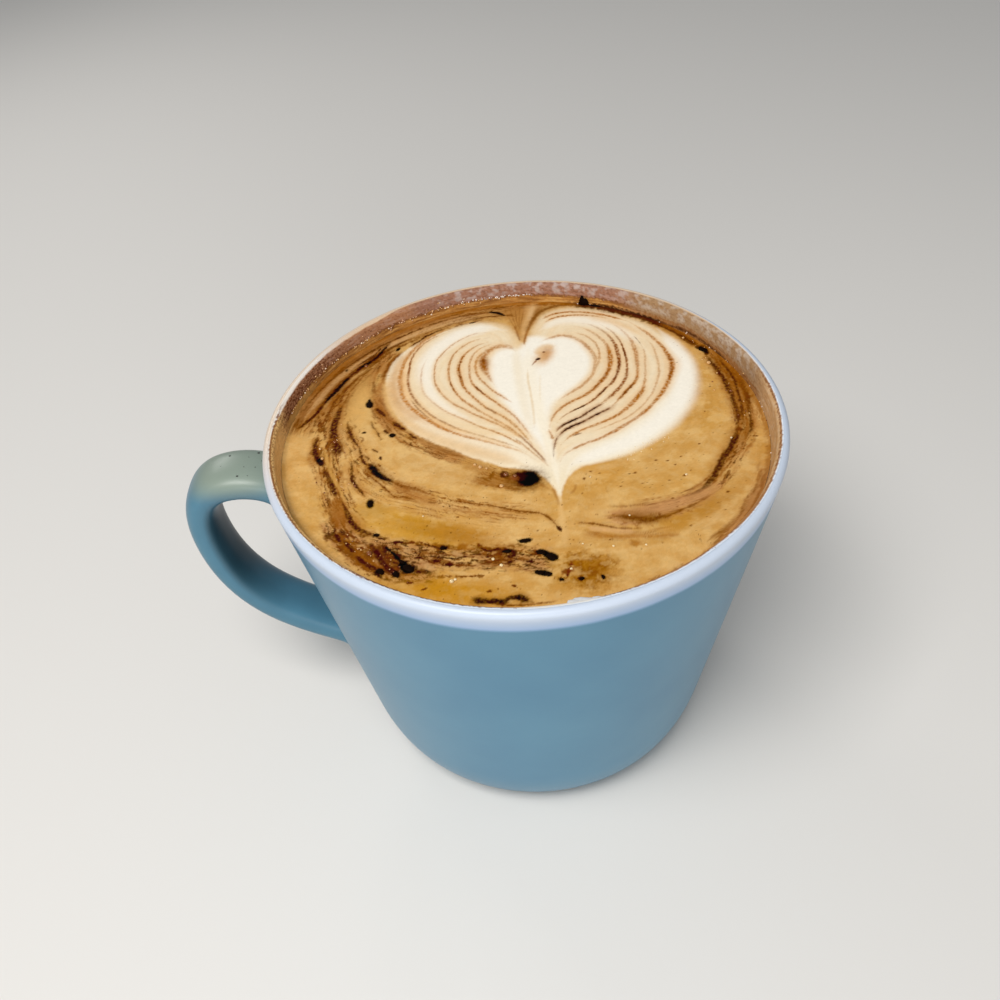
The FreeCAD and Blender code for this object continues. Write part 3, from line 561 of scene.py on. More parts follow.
    dash([(-6.7, 10.1), (-5.4, 8.7), (-4.4, 7.8)], 0.32, 0.85, BROWN, 0.2)
    dash([(-14.0, 20.2), (-13.6, 18.2), (-12.9, 16.2)], 0.24, 0.6, BROWN, 0.4)
    rip([(-4.8, 31.9), (-7.4, 30.5), (-9, 28.2), (-9.7, 25.4), (-9.8, 22.2), (-9.6, 19.9), (-9, 17.7), (-7.4, 15.1), (-5.7, 12.8), (-3.8, 10.4), (-1.9, 7.9), (-0.6, 5.8), (0.9, 2.6), (2.4, -1.4)],
        0.4, [0.3, 0.5, 0.5, 0.5, 0.5, 0.6, 0.8, 0.8, 0.7, 0.6, 0.5, 0.5, 0.4, 0.3], RIPPLE)
    dash([(-8.9, 17.8), (-8.1, 16.4), (-7.3, 15.1), (-6.6, 14.0)], 0.42, 0.8, BROWN, 0.3)
    rip([(-5.8, 29.7), (-7.4, 28.1), (-8.2, 26.1), (-8.5, 23.5), (-8, 20.6), (-6.7, 18), (-5.1, 15.4), (-3.2, 13.1), (-1.2, 10.8)],
        [0.4, 0.5, 0.5, 0.5, 0.4, 0.35, 0.35, 0.35, 0.3], [0.5, 0.65, 0.7, 0.65, 0.55, 0.55, 0.6, 0.7, 0.5], RIPPLE)
    rip([(0.2, 28.4), (-1.2, 30.3), (-3.2, 30.8), (-4.8, 30.2), (-6.1, 28.8), (-6.8, 26.9), (-6.9, 24.6), (-6.4, 22.2), (-5.6, 19.6), (-4.6, 17)],
        [0.6, 0.9, 1.0, 1.0, 1.1, 1.2, 1.2, 0.8, 0.5, 0.4], [0.15, 0.4, 0.6, 0.6, 0.6, 0.8, 0.85, 0.6, 0.35, 0.2], RIPPLE, 0.8)
    cv.blob(-6.6, 25.0, 0.9, 1.9, RIPPLE_DARK, 0.75, 0.8, 0, 0.2)
    cv.blob(-6.8, 26.0, 0.4, 0.5, BROWN, 0.6, 0.6)

    cv.stroke([(-26.6, 24), (-27, 19), (-26, 14), (-24, 9.4), (-20.4, 4.6), (-15.6, 0.6), (-10, -2.8), (-4, -6), (1, -9)], [1.6, 2.2, 2.4, 2.6, 3.0, 3.4, 3.4, 3.0, 2.0], [0.6, 0.85, 0.85, 0.75, 0.65, 0.65, 0.65, 0.55, 0.4], rgb(226, 182, 122), 0.95, 0.2)
    cv.stroke([(-22.6, 31.6), (-24.9, 27.2), (-25.8, 22.6), (-25.7, 18), (-24.6, 13.8), (-22.2, 9.8), (-18.6, 5.8)], 1.7, [0.4, 0.6, 0.7, 0.75, 0.7, 0.6, 0.4], rgb(212, 164, 108), 0.9, 0.2)
    cv.stroke([(-21, 22), (-20, 15), (-16, 9), (-10, 4), (-3, -1.4)], 2.6, [0.2, 0.3, 0.35, 0.4, 0.4], rgb(240, 208, 158), 0.95, 0.2)
    cv.stroke([(-9, 12), (-4, 6), (0, 0), (3, -6)], 3.4, [0.15, 0.3, 0.35, 0.25], rgb(236, 200, 148), 0.95, 0.2)
    cv.blob(3.2, -5.6, 1.3, 3.0, rgb(236, 198, 144), 0.35, 0.9, 24, 0.12)
    cv.stroke([(0.4, 30), (0.2, 24), (0.6, 16), (1.4, 8), (2.4, 1)], 1.8, [0.3, 0.45, 0.4, 0.4, 0.3], rgb(240, 220, 184), 0.95, 0.1)

    # fold of crema in the middle and the swirl beside it
    cv.stroke([(1.2, 46), (1.2, 43), (1.3, 40), (1.5, 37), (1.8, 33.6), (2.2, 31)], [6.4, 5.6, 4.6, 3.2, 1.6, 0.8], [0.8, 0.85, 0.85, 0.8, 0.7, 0.4], rgb(186, 132, 72), 0.85, 0.2)
    for fx in (-1.4, -0.4, 0.5, 1.3, 2.1):
        cv.stroke([(fx * 1.3, 45.6), (fx * 1.0 + 0.2, 42.5), (0.6 + fx * 0.55, 39), (1.2 + fx * 0.25, 36)], 0.26, [0.2, 0.42, 0.42, 0.15], rgb(128, 78, 36), 0.8, 0.15, 0.4)
    cv.stroke([(4.7, 46.8), (4.3, 44), (3.7, 41.4), (2.9, 38.6), (2.2, 35.4), (2.0, 32.6), (2.3, 30)], [4.6, 2.8, 2.0, 1.7, 1.4, 1.1, 0.7], [0.75, 0.85, 0.9, 0.9, 0.85, 0.8, 0.5], rgb(216, 170, 112), 0.75, 0.15)
    cv.stroke([(4.6, 45.6), (4.1, 42.6), (3.3, 39.6)], 0.9, [0.4, 0.6, 0.4], rgb(232, 192, 140), 0.9, 0.1)
    cv.stroke([(6.9, 45.6), (5.6, 43.6), (4.9, 41.4), (4.0, 38.6), (3.0, 35.4)], [1.4, 1.1, 0.9, 0.7, 0.5], [0.5, 0.65, 0.65, 0.55, 0.35], rgb(144, 92, 44), 0.85, 0.2, 0.2)
    cv.stroke([(0.2, 38.4), (0.7, 35.5), (1.2, 32)], [0.5, 0.5, 0.3], 0.5, RIPPLE_DARK, 0.7)
    cv.stroke([(3.6, 37.6), (2.8, 35.2), (2.2, 32.4), (2.0, 30.6)], [0.5, 0.6, 0.5, 0.4], [0.5, 0.7, 0.8, 0.6], COCOA, 0.7, 0.1, 0.2)
    cv.stroke([(4.4, 26.8), (5.6, 29), (7.2, 29.4), (8, 28.2)], 1.6, 0.55, rgb(226, 186, 130), 0.9)
    cv.blob(6.1, 26.2, 1.7, 3.1, rgb(224, 172, 106), 0.8, 0.8, -22, 0.12)
    cv.blob(6.6, 26.6, 1.0, 2.0, RIPPLE, 0.45, 0.9, -20, 0.12)
    cv.blob(6.1, 27.5, 0.32, 0.38, BROWN, 0.8, 0.5)
    cv.blob(4.7, 25.1, 0.56, 0.34, rgb(56, 20, 6), 1.0, 0.45, 30, 0.12, -0.02, 0.3)
    cv.stroke([(4.5, 24.8), (3.8, 23.8), (3.2, 22.8)], [0.55, 0.35, 0.2], [0.9, 0.7, 0.4], RIPPLE_DARK, 0.7)
    cv.stroke([(2.4, 22), (2.3, 18), (2.6, 14), (2.8, 10), (2.9, 6), (2.8, 2)], 0.45, [0.35, 0.5, 0.5, 0.45, 0.4, 0.2], rgb(222, 186, 132), 0.9)
    cv.stroke([(4.9, 20), (4.6, 15), (4.4, 10)], 0.4, [0.15, 0.3, 0.15], rgb(232, 204, 160), 0.9)
    dash([(2.8, 3.0), (2.9, 2.4)], 0.3, 0.5, RIPPLE_DARK)
    # tip
    cv.stroke([(-0.6, 1.2), (0.8, -1.2), (2.2, -3.6), (3.6, -6.2), (4.8, -8.6)], 0.42, [0.5, 0.7, 0.8, 0.8, 0.4], RIPPLE_DARK, 0.6, 0.1, 0.3)
    cv.stroke([(-1.6, 0.2), (0.2, -2.2), (1.8, -4.6), (3.6, -7.2), (5.2, -9.8)], 0.35, [0.4, 0.6, 0.6, 0.5, 0.3], RIPPLE, 0.6, 0.1, 0.3)
    dash([(1.4, -3.8), (2.0, -4.8)], 0.32, 0.8, DARK)
    dash([(2.9, -5.9), (3.4, -6.8)], 0.34, 0.8, DARK)
    cv.stroke([(6.4, -17), (6.45, -20), (6.4, -23), (6.5, -28), (6.6, -31)], [0.9, 0.8, 1.0, 1.4, 1.2], [0.75, 0.55, 0.45, 0.4, 0.2], rgb(232, 190, 128), 0.9)
    cv.stroke([(8.3, -17.4), (9.3, -16.2), (9.6, -14.6)], 0.5, [0.3, 0.5, 0.3], COCOA, 0.8)
    cv.stroke([(5.2, -15.2), (5.9, -18.2), (6.2, -20.4)], 0.5, [0.5, 0.45, 0.2], COCOA, 0.8)

    # ---------------------------------------------------------------- cocoa marbling
    def mar(pts, w, a=0.9, col=DARK, halo=2.4, ha=0.5, hcol=COCOA, jag=0.22, broken=0.35, soft=0.4, gloss=0.4, ends=0.15):
        if halo:
            cv.stroke(pts, np.atleast_1d(w) * halo, np.atleast_1d(a) * ha, hcol, 0.9, 0.3, 0.15, 0, 0, 0.05)
        cv.stroke(pts, w, a, col, soft, jag, broken, -0.03, gloss, ends)

    # shadowed edge of the heart on the far side, then down the right
    mar([(2.6, 35.6), (3.5, 38), (4.5, 40.3), (5.7, 42.4), (7.7, 44), (10, 44.8), (12.5, 45), (14.8, 44.5), (17.4, 43.4)], [0.6, 0.7, 0.8, 0.9, 0.9, 0.8, 0.7, 0.6], [0.4, 0.5, 0.6, 0.7, 0.75, 0.7, 0.6, 0.6], BROWN, 2.2, 0.7, rgb(150, 96, 44), 0.15, 0.2, 0.7)
    mar([(17.2, 43.4), (20, 42.7), (22.5, 41.6), (25.1, 40.1), (28, 38), (30.3, 36.1), (32.8, 33.6)], [0.6, 0.7, 0.8, 0.8, 0.9, 0.9, 1.0], [0.7, 0.8, 0.85, 0.9, 0.95, 0.95, 0.95], DARK, 2.2, 0.6, broken=0.15)
    mar([(32.4, 34.0), (33.6, 32.4), (34.8, 30.5), (36.1, 28), (37.7, 25.4)], [1.2, 1.5, 1.3, 1.0, 0.9], 0.95, DARK, 1.9, 0.6, broken=0.2)
    cv.stroke([(37.2, 25.0), (38.4, 25.1), (39.1, 24.6), (39.4, 23.2), (39.3, 22)], [1.1, 1.5, 1.6, 1.2, 0.8], 0.97, BLACK, 0.35, 0.2, 0, 0.02, 0.7)
    mar([(39.2, 22.6), (39.7, 20.4), (40.2, 18.4), (40.8, 16.2), (41.4, 13.6), (41.7, 11), (42, 8.4), (41.9, 6), (42.2, 3), (41.8, 0.5), (41.2, -1.8)], [1.1, 1.2, 1.0, 0.9, 1.0, 1.1, 1.0, 0.9, 0.9, 0.9, 1.0], [0.95, 0.9, 0.85, 0.85, 0.9, 0.9, 0.85, 0.75, 0.7, 0.75, 0.9], DARK, 2.2, 0.55, broken=0.55)
    mar([(41.2, -1.8), (40.5, -4.4), (39.6, -6.2), (38.6, -8), (37, -10.6), (35.6, -13.4), (33.9, -16.2), (32.2, -18.2), (29.6, -19.6), (26.7, -20.5)], [1.3, 1.4, 1.2, 1.1, 1.2, 1.0, 1.0, 0.7, 0.4, 0.35], [0.95, 0.95, 0.9, 0.9, 0.9, 0.9, 0.85, 0.8, 0.75, 0.6], DARK, 2.3, 0.6, broken=0.35)
    mar([(26.7, -20.5), (23.2, -21.3), (20.6, -21.4), (17.4, -21.5), (14.5, -21.3)], 0.35, [0.6, 0.5, 0.5, 0.5, 0.2], BROWN, 2.6, 0.5, broken=0.5)
    mar([(41.0, 24.6), (41.4, 22.4), (41.6, 20.4), (42.4, 18.2), (43.5, 16.2), (44.4, 14), (44.8, 11), (44.9, 8), (44.6, 5), (44.2, 1.6), (44.0, -1.6), (43, -3.8), (41.6, -6)], [0.4, 0.5, 0.6, 0.6, 0.9, 1.1, 0.9, 1.0, 0.7, 0.6, 0.7, 0.6, 0.5], [0.7, 0.7, 0.75, 0.8, 0.85, 0.9, 0.85, 0.9, 0.7, 0.7, 0.7, 0.5, 0.4], DARK, 2.4, 0.5, broken=0.6)
    cv.stroke([(34.0, 33), (36, 31.6), (38.2, 29.6), (40, 26.4)], 2.4, [0.5, 0.6, 0.5, 0.3], rgb(150, 92, 36), 0.9, 0.3, 0.4)
    for bx, by, br in ((35.6, 33.2, 0.5), (36.4, 31.2, 0.45), (38.6, 29.2, 0.35), (43.0, 24.2, 0.6), (42.4, 22.6, 0.5), (43.6, 17.0, 0.4), (44.4, 13.2, 0.5), (44.9, 7.6, 0.7), (41.4, -2.2, 0.55), (43.8, -4.5, 0.25), (45.6, -7.8, 0.2)):
        cv.blob(bx, by, br, br * 0.9, BROWN, 0.8, 0.5, 0, 0.3)
    cv.stroke([(40.6, 25.4), (43.0, 17), (44.0, 9), (43.6, 1.5)], [1.8, 2.8, 3.0, 2.0], [0.5, 0.7, 0.7, 0.4], rgb(132, 76, 26), 0.8, 0.5, 0.35)
    mar([(41.0, 23.6), (42.0, 19.2), (43.2, 14.2), (43.4, 9.4), (43.2, 4.4), (42.6, -0.8)], 0.5, [0.5, 0.7, 0.75, 0.75, 0.7, 0.5], DARK, 2.4, 0.5, broken=0.55)
    mar([(29.2, 36.0), (31.4, 34.0), (33.6, 31.9), (35.6, 29.6), (37.3, 27.0), (38.6, 25.0)], [0.7, 0.8, 0.9, 0.8, 0.8, 0.9], 0.9, DARK, 2.0, 0.6, broken=0.25)
    # lower right folds
    cv.stroke([(14, -22.8), (20, -23), (26, -22), (32, -19.6), (37, -16)], [1.4, 2.6, 3.0, 2.4, 1.2], [0.4, 0.7, 0.75, 0.6, 0.4], PINK, 0.8)
    mar([(14.6, -23.8), (17.4, -24.2), (19.4, -24.8), (21.4, -25.5), (23.2, -25), (25.4, -24.4), (26.9, -23.8), (29, -22.7), (31.5, -21.3), (33.8, -19.6)], [0.5, 1.0, 1.2, 1.2, 0.9, 0.6, 0.5, 0.5, 0.4, 0.3], [0.4, 0.8, 0.9, 0.95, 0.8, 0.7, 0.7, 0.6, 0.5, 0.3], BROWN, 2.4, 0.6, broken=0.4, soft=0.7)
    cv.blob(20.6, -24.6, 3.4, 1.5, rgb(112, 70, 24), 0.5, 0.9, -8, 0.3)
    mar([(8.6, -25.0), (9.9, -25.1), (12.5, -25.7), (15.4, -26.8), (18, -27.3), (20.6, -27.3)], [0.3, 0.4, 0.4, 0.4, 0.35, 0.3], [0.5, 0.8, 0.8, 0.8, 0.7, 0.4], BROWN, 2.2, 0.5, broken=0.3)
    cv.stroke([(10.6, -26.4), (13, -27.0), (16, -27.8), (19, -28.1)], 1.1, 0.6, rgb(224, 176, 122), 0.8)
    mar([(9.4, -28), (12.5, -28.6), (16.1, -29.2), (19.3, -29.3), (23.2, -29.6), (26.6, -29.5)], 0.9, [0.35, 0.5, 0.55, 0.45, 0.45, 0.4], rgb(166, 104, 40), 2.0, 0.4, broken=0.3, soft=0.8, gloss=0)
    cv.blob(18.7, -31, 1.2, 0.7, rgb(160, 98, 30), 0.7, 0.7, -15, 0.3)
    cv.stroke([(30.8, -31.5), (33, -30), (35, -28.2), (38, -25), (40.6, -20.6), (42.4, -17), (44, -13.5)], [0.8, 1.0, 1.0, 1.1, 0.9, 0.8, 0.7], [0.7, 0.8, 0.6, 0.7, 0.6, 0.6, 0.4], rgb(134, 84, 34), 0.8, 0.3, 0.35)

    # thin line under the heart
    mar([(-14, -16.6), (-12.5, -17.3), (-9.3, -18.3), (-5.1, -19.5), (-2.2, -20.6), (0, -21.3), (2.2, -21.8), (3.9, -22.9), (5.1, -24.8), (5.7, -26.4)], [0.3, 0.35, 0.35, 0.35, 0.5, 0.5, 0.45, 0.45, 0.45, 0.5], [0.5, 0.7, 0.7, 0.7, 0.85, 0.85, 0.8, 0.8, 0.8, 0.9], BROWN, 2.4, 0.4, broken=0.25)
    cv.stroke([(5.3, -25.3), (5.8, -26.2), (6.1, -27.1)], [0.6, 0.7, 0.4], 0.95, DARK, 0.4, 0.2, 0, -0.02, 0.5)
    cv.stroke([(-13.5, -19.2), (-11.2, -20.2), (-8.6, -20.9), (-5.4, -21.4)], 0.7, [0.3, 0.5, 0.4, 0.2], COCOA, 0.8, 0.3, 0.5)

    # the big black pool left of the tip, with froth beside it
    cv.blob(-4.6, -12.2, 4.6, 1.9, rgb(150, 94, 38), 0.75, 0.7, -8, 0.3)
    cv.blob(-8.4, -8.2, 2.8, 1.4, rgb(170, 116, 58), 0.7, 0.8, -30, 0.3)
    cv.blob(0.6, -12.6, 3.4, 3.0, rgb(90, 46, 14), 0.75, 0.55, 0, 0.25)
    cv.blob(1.0, -12.3, 2.15, 2.2, BLACK, 1.0, 0.22, 0, 0.12, -0.12, 0.9)
    cv.blob(-0.6, -11.6, 1.3, 1.2, rgb(52, 24, 12), 0.95, 0.4, 0, 0.3, 0, 0.6)
    cv.blob(-3.4, -10.8, 0.95, 0.9, rgb(70, 34, 16), 0.9, 0.35, 0, 0.3, 0, 0.6)
    cv.blob(-1.6, -11.9, 0.8, 0.7, rgb(140, 80, 50), 0.8, 0.5, 0, 0.3)
    cv.blob(-3.2, -10.9, 0.4, 0.4, rgb(30, 14, 8), 0.9, 0.4)
    cv.blob(-4.1, -14, 0.75, 0.5, rgb(112, 62, 22), 0.7, 0.4)
    cv.blob(-4.0, -13.9, 0.35, 0.22, rgb(206, 160, 100), 0.7, 0.4)
    cv.stroke([(2.8, -14.2), (4.0, -15), (5.2, -16.2)], [0.9, 0.6, 0.3], [0.5, 0.35, 0.2], COCOA, 0.8)

    # far left to lower left
    mar([(-11.5, 43.2), (-9.9, 43.8), (-7.4, 44.1), (-5.2, 44.3)], 0.5, [0.3, 0.6, 0.7, 0.8], BROWN, 2.4, 0.5)
    cv.stroke([(-5.6, 44.3), (-4.4, 44.2), (-3.2, 43.7), (-2.2, 42.9), (-1.4, 42.4)], [0.5, 0.8, 0.95, 0.7, 0.3], 0.97, BLACK, 0.4, 0.15, 0, -0.03, 0.6)
    mar([(-1.6, 42.5), (-0.4, 42.3), (0.8, 41.6)], 0.4, [0.6, 0.5, 0.2], BROWN)
    cv.stroke([(-9.9, 40.5), (-9.2, 40.6), (-8.2, 40.8)], [0.4, 0.55, 0.3], 0.95, BLACK, 0.4, 0.1, 0, -0.02, 0.5)
    mar([(-14.4, 39.6), (-16.8, 38.4), (-19.4, 36.6), (-20.6, 35.3), (-21.8, 34.2), (-23, 33)], [0.35, 0.4, 0.5, 0.5, 0.5, 0.4], [0.5, 0.6, 0.9, 0.95, 0.9, 0.7], DARK, 2.8, 0.6)
    cv.blob(-25.3, 32.6, 0.72, 0.42, BLACK, 1.0, 0.35, 52, 0.12, -0.02, 0.6)
    mar([(-24.2, 31.4), (-25.8, 29.4), (-27, 27), (-27.6, 24.4), (-28.1, 21.6)], [0.5, 0.7, 0.7, 0.6, 0.5], [0.5, 0.65, 0.6, 0.6, 0.5], BROWN, 2.4, 0.7, broken=0.5, soft=0.8)
    mar([(-27.2, 35.2), (-28.3, 33.4), (-29.4, 31.2), (-30.7, 29.3), (-31.9, 28.0), (-33.2, 26.6), (-35.0, 24.4)], [0.3, 0.5, 0.75, 0.95, 0.85, 0.6, 0.35], [0.8, 0.95, 1, 1, 1, 0.95, 0.8], BLACK, 2.4, 0.75, BROWN, 0.34, 0.25)
    mar([(-28.6, 34.4), (-30.4, 31.4), (-32.2, 29.4), (-34.4, 27.2)], [0.25, 0.4, 0.45, 0.25], 0.85, DARK, 2.2, 0.5, broken=0.4)
    mar([(-29.8, 32.4), (-30.6, 30.6), (-31.8, 29.2)], 0.4, 0.8, DARK)
    mar([(-34.9, 24.6), (-35.9, 22.9), (-37.0, 20.9), (-38.2, 18.7), (-39.4, 16.5), (-40.4, 14.4)], [0.35, 0.7, 0.95, 0.9, 0.7, 0.45], [0.85, 1, 1, 1, 1, 0.85], BLACK, 2.3, 0.75, BROWN, 0.3, 0.15)
    mar([(-40.0, 15.2), (-40.7, 13.6), (-41.5, 11.8), (-42.8, 9.9), (-44.1, 8.1), (-45.4, 7.3)], [0.6, 0.8, 0.8, 0.7, 0.6, 0.4], [0.9, 0.95, 0.95, 0.9, 0.85, 0.6], DARK, 2.0, 0.6, broken=0.2)
    mar([(-32.6, 25), (-33.6, 23.4), (-34.9, 21.2), (-36, 18.6), (-36.6, 15.6), (-37.8, 13.6), (-39.0, 11.6), (-39.8, 8.4), (-40.2, 5.6)], [0.4, 0.4, 0.45, 0.45, 0.45, 0.4, 0.45, 0.5, 0.6], [0.6, 0.75, 0.75, 0.75, 0.75, 0.7, 0.75, 0.85, 0.9], BROWN, 2.4, 0.5, broken=0.35)
    mar([(-31.6, 25.4), (-33, 22.4), (-34.6, 19), (-35.6, 16), (-36, 13)], 0.3, [0.4, 0.6, 0.6, 0.6, 0.4], BROWN, 2.4, 0.5, broken=0.4)
    mar([(-36.0, 14.6), (-36.7, 12), (-37.0, 9.8), (-37.4, 7.4), (-37.2, 4.6), (-36.6, 2.2)], [0.6, 0.9, 1.3, 1.4, 1.6, 1.8], [0.7, 0.85, 0.9, 0.95, 0.95, 0.95], DARK, 1.9, 0.7, broken=0.45)
    cv.stroke([(-37, 3.4), (-36.4, 0.6), (-35.8, -2.4)], [2.4, 3.2, 1.8], [0.8, 0.9, 0.6], BROWN, 0.6, 0.4, 0.35, -0.02, 0.3)
    cv.stroke([(-36.6, 2.2), (-36.2, 0.2), (-35.9, -1.6)], [1.2, 1.8, 1.0], [0.8, 0.9, 0.7], DARK, 0.6, 0.5, 0.5, -0.02, 0.4)
    mar([(-40.4, 7.2), (-40.3, 5.8)], 0.7, 0.95, DARK)
    mar([(-40.4, 4.6), (-40.7, 2.2), (-40.6, 0.4), (-40.4, -1.2), (-39.4, -3.0), (-38.7, -4.9)], [0.5, 0.7, 1.0, 1.1, 1.5, 1.2], [0.8, 0.85, 0.95, 0.95, 1, 0.95], DARK, 2.0, 0.65, broken=0.3)
    cv.stroke([(-39.9, -2.2), (-39.2, -3.6), (-38.7, -4.8)], [0.8, 1.1, 0.7], 0.9, BLACK, 0.5, 0.3, 0.2, -0.02, 0.5)
    cv.stroke([(-41.6, -0.5), (-41.4, -3), (-40.4, -5.4)], 1.0, [0.4, 0.6, 0.4], COCOA, 0.9, 0.4, 0.4)
    mar([(-38.4, -5.6), (-37.6, -7.4), (-36.7, -9.3), (-35.9, -11.9), (-35.2, -14.2)], [0.9, 0.9, 0.9, 0.9, 0.7], [0.8, 0.8, 0.9, 0.95, 0.85], DARK, 2.6, 0.6, broken=0.35)
    cv.stroke([(-35.4, -14), (-34.8, -17), (-34.4, -20), (-33.4, -23)], [1.8, 2.8, 2.8, 1.8], [0.7, 0.85, 0.8, 0.6], rgb(152, 94, 42), 0.5, 0.35, 0.1)
    mar([(-34.2, -14.8), (-33.4, -17), (-32.6, -19), (-31.8, -21.2), (-30.5, -23), (-28.6, -24.2), (-27.2, -24.8)], [0.4, 0.5, 0.9, 1.1, 1.2, 0.8, 0.8], [0.7, 0.8, 0.9, 0.95, 0.95, 0.9, 0.9], DARK, 2.4, 0.6, broken=0.4)
    cv.stroke([(-38.9, 0.4), (-37.6, -4.4), (-36, -9), (-34.4, -12.6), (-33.4, -16.4)], 0.7, [0.5, 0.7, 0.75, 0.7, 0.4], rgb(206, 156, 84), 0.6, 0.2)
    mar([(-34.6, 8), (-34.2, 5.6), (-33.6, 4), (-32.6, 1.6), (-31.6, -0.2)], [0.4, 0.6, 0.7, 0.5, 0.4], [0.5, 0.85, 0.9, 0.85, 0.7], DARK, 2.6, 0.6)
    mar([(-31.9, 0.8), (-31.2, -2.4), (-30.4, -4.6), (-29.4, -5.6)], [0.3, 0.4, 0.5, 0.6], [0.6, 0.8, 0.9, 0.9], DARK, 2.4, 0.5)
    mar([(-29.7, -4.8), (-28.8, -6.2), (-28, -7.8), (-27, -9.0), (-25.8, -9.9), (-24.4, -10.9)], [0.7, 1.4, 1.5, 1.3, 1.0, 0.8], [0.95, 1, 1, 1, 0.95, 0.9], BLACK, 1.9, 0.7, BROWN, 0.22, 0.08)
    mar([(-24.6, -10.7), (-22.8, -12.1), (-20.9, -12.9), (-19, -13.9), (-17.4, -15)], [0.8, 0.8, 0.7, 0.6, 0.4], [0.9, 0.85, 0.8, 0.7, 0.5], BROWN, 2.4, 0.7, broken=0.4)
    cv.stroke([(-25, -11.8), (-22, -13.8), (-18.6, -15.6), (-15.5, -17.6)], [1.6, 2.6, 2.6, 1.6], [0.5, 0.7, 0.65, 0.4], rgb(168, 112, 60), 0.8, 0.4, 0.3)
    mar([(-30.3, -5.8), (-29.9, -7.4), (-28.6, -9.3), (-27, -11.2), (-25.4, -13.4), (-24.1, -14.9), (-22.2, -15.2), (-20.6, -16), (-19.6, -17.2)], 0.38, [0.7, 0.85, 0.8, 0.8, 0.75, 0.8, 0.75, 0.65, 0.4], BROWN, 2.6, 0.5, broken=0.45)
    mar([(-33.2, -3), (-32.8, -6), (-32.6, -8.8), (-31.6, -11.2), (-30.5, -13), (-29.6, -14.6)], [0.4, 0.4, 0.6, 0.8, 0.5, 0.4], [0.6, 0.7, 0.85, 0.95, 0.9, 0.9], DARK, 2.4, 0.5, broken=0.35)
    cv.blob(-28.6, -16.5, 0.75, 1.3, BLACK, 1.0, 0.3, 4, 0.16, -0.04, 0.7)
    cv.blob(-27.6, -18.4, 2.4, 1.6, rgb(176, 132, 64), 0.5, 0.9)
    mar([(-34, -1.6), (-34.2, -3)], 0.5, 0.9, DARK)
    mar([(-35.4, -7.4), (-35, -9)], 0.4, 0.7, BROWN)
    mar([(-33.0, -13), (-32, -15.4), (-31.2, -17.4)], 0.3, 0.6, BROWN, broken=0.4)

    # black drop and strokes at upper left of the heart
    cv.blob(-30.5, 13.7, 0.85, 1.2, BLACK, 1.0, 0.22, 8, 0.12, -0.04, 0.7)
    cv.blob(-30.6, 14.9, 0.35, 0.7, BLACK, 1.0, 0.3, 0, 0.1)
    cv.stroke([(-30.1, 21.8), (-29.9, 19.4), (-29.9, 17)], [0.5, 0.7, 0.5], [0.6, 0.75, 0.5], BROWN, 0.8, 0.3, 0.4)
    cv.stroke([(-29, 21), (-28.8, 17), (-28.3, 13), (-26.9, 9.4), (-24.4, 6)], [1.2, 1.8, 2.0, 1.8, 1.6], [0.5, 0.7, 0.7, 0.7, 0.6], rgb(164, 106, 56), 0.9, 0.4, 0.3)
    mar([(-29.2, 12.4), (-28.3, 11.3), (-27.6, 10.3), (-26.9, 9.0)], [0.5, 0.8, 0.9, 0.6], 0.92, DARK, 2.2, 0.6, broken=0.25)
    mar([(-25.4, 7.6), (-24.6, 6.5), (-23.4, 5.2), (-22.6, 4.4)], [0.7, 1.0, 0.8, 0.5], 0.92, DARK, 2.2, 0.6, broken=0.3)
    mar([(-22, 3.4), (-21.2, 2.4), (-20.2, 1.4)], [0.5, 0.7, 0.5], 0.9, DARK, 2.2, 0.6, broken=0.3)
    cv.stroke([(-20.6, 2.2), (-18.6, 0.6), (-16.4, -1.6), (-13.6, -3.2), (-10.8, -5.6)], [0.9, 1.2, 1.4, 1.4, 1.2], [0.6, 0.65, 0.6, 0.55, 0.4], rgb(150, 98, 50), 0.9, 0.4, 0.35)
    mar([(-27.2, 5.2), (-26.6, 4.2), (-26, 3.6)], 0.6, 0.9, DARK)
    cv.blob(-25.3, 3.2, 0.8, 0.62, BLACK, 1.0, 0.3, -20, 0.2, -0.03, 0.6)
    mar([(-30, 8.6), (-29.4, 6.4), (-28.6, 5.0), (-28, 3.2), (-27.2, 1.8)], 0.3, [0.4, 0.6, 0.85, 0.85, 0.5], DARK, 2.4, 0.5, broken=0.45)
    cv.blob(-31.1, 4.6, 0.42, 0.34, BLACK, 0.95, 0.4, -30)
    mar([(-29.2, -0.6), (-28.5, -1.2), (-27.9, -2.0)], 0.4, 0.85, DARK)
    cv.blob(-27.3, -3.6, 0.3, 0.55, DARK, 0.95, 0.4, 10)
    cv.blob(-36.2, 26.2, 0.28, 0.5, BLACK, 0.9, 0.4, -15)
    mar([(-39.2, 24.2), (-37.6, 26.4), (-36.6, 27.8)], 0.4, 0.6, BROWN)
    mar([(-34, 31), (-36.4, 28), (-38.6, 24.6), (-41, 20.6), (-42.6, 17)], 0.6, [0.3, 0.5, 0.5, 0.5, 0.3], BROWN, 2.4, 0.5, broken=0.6)

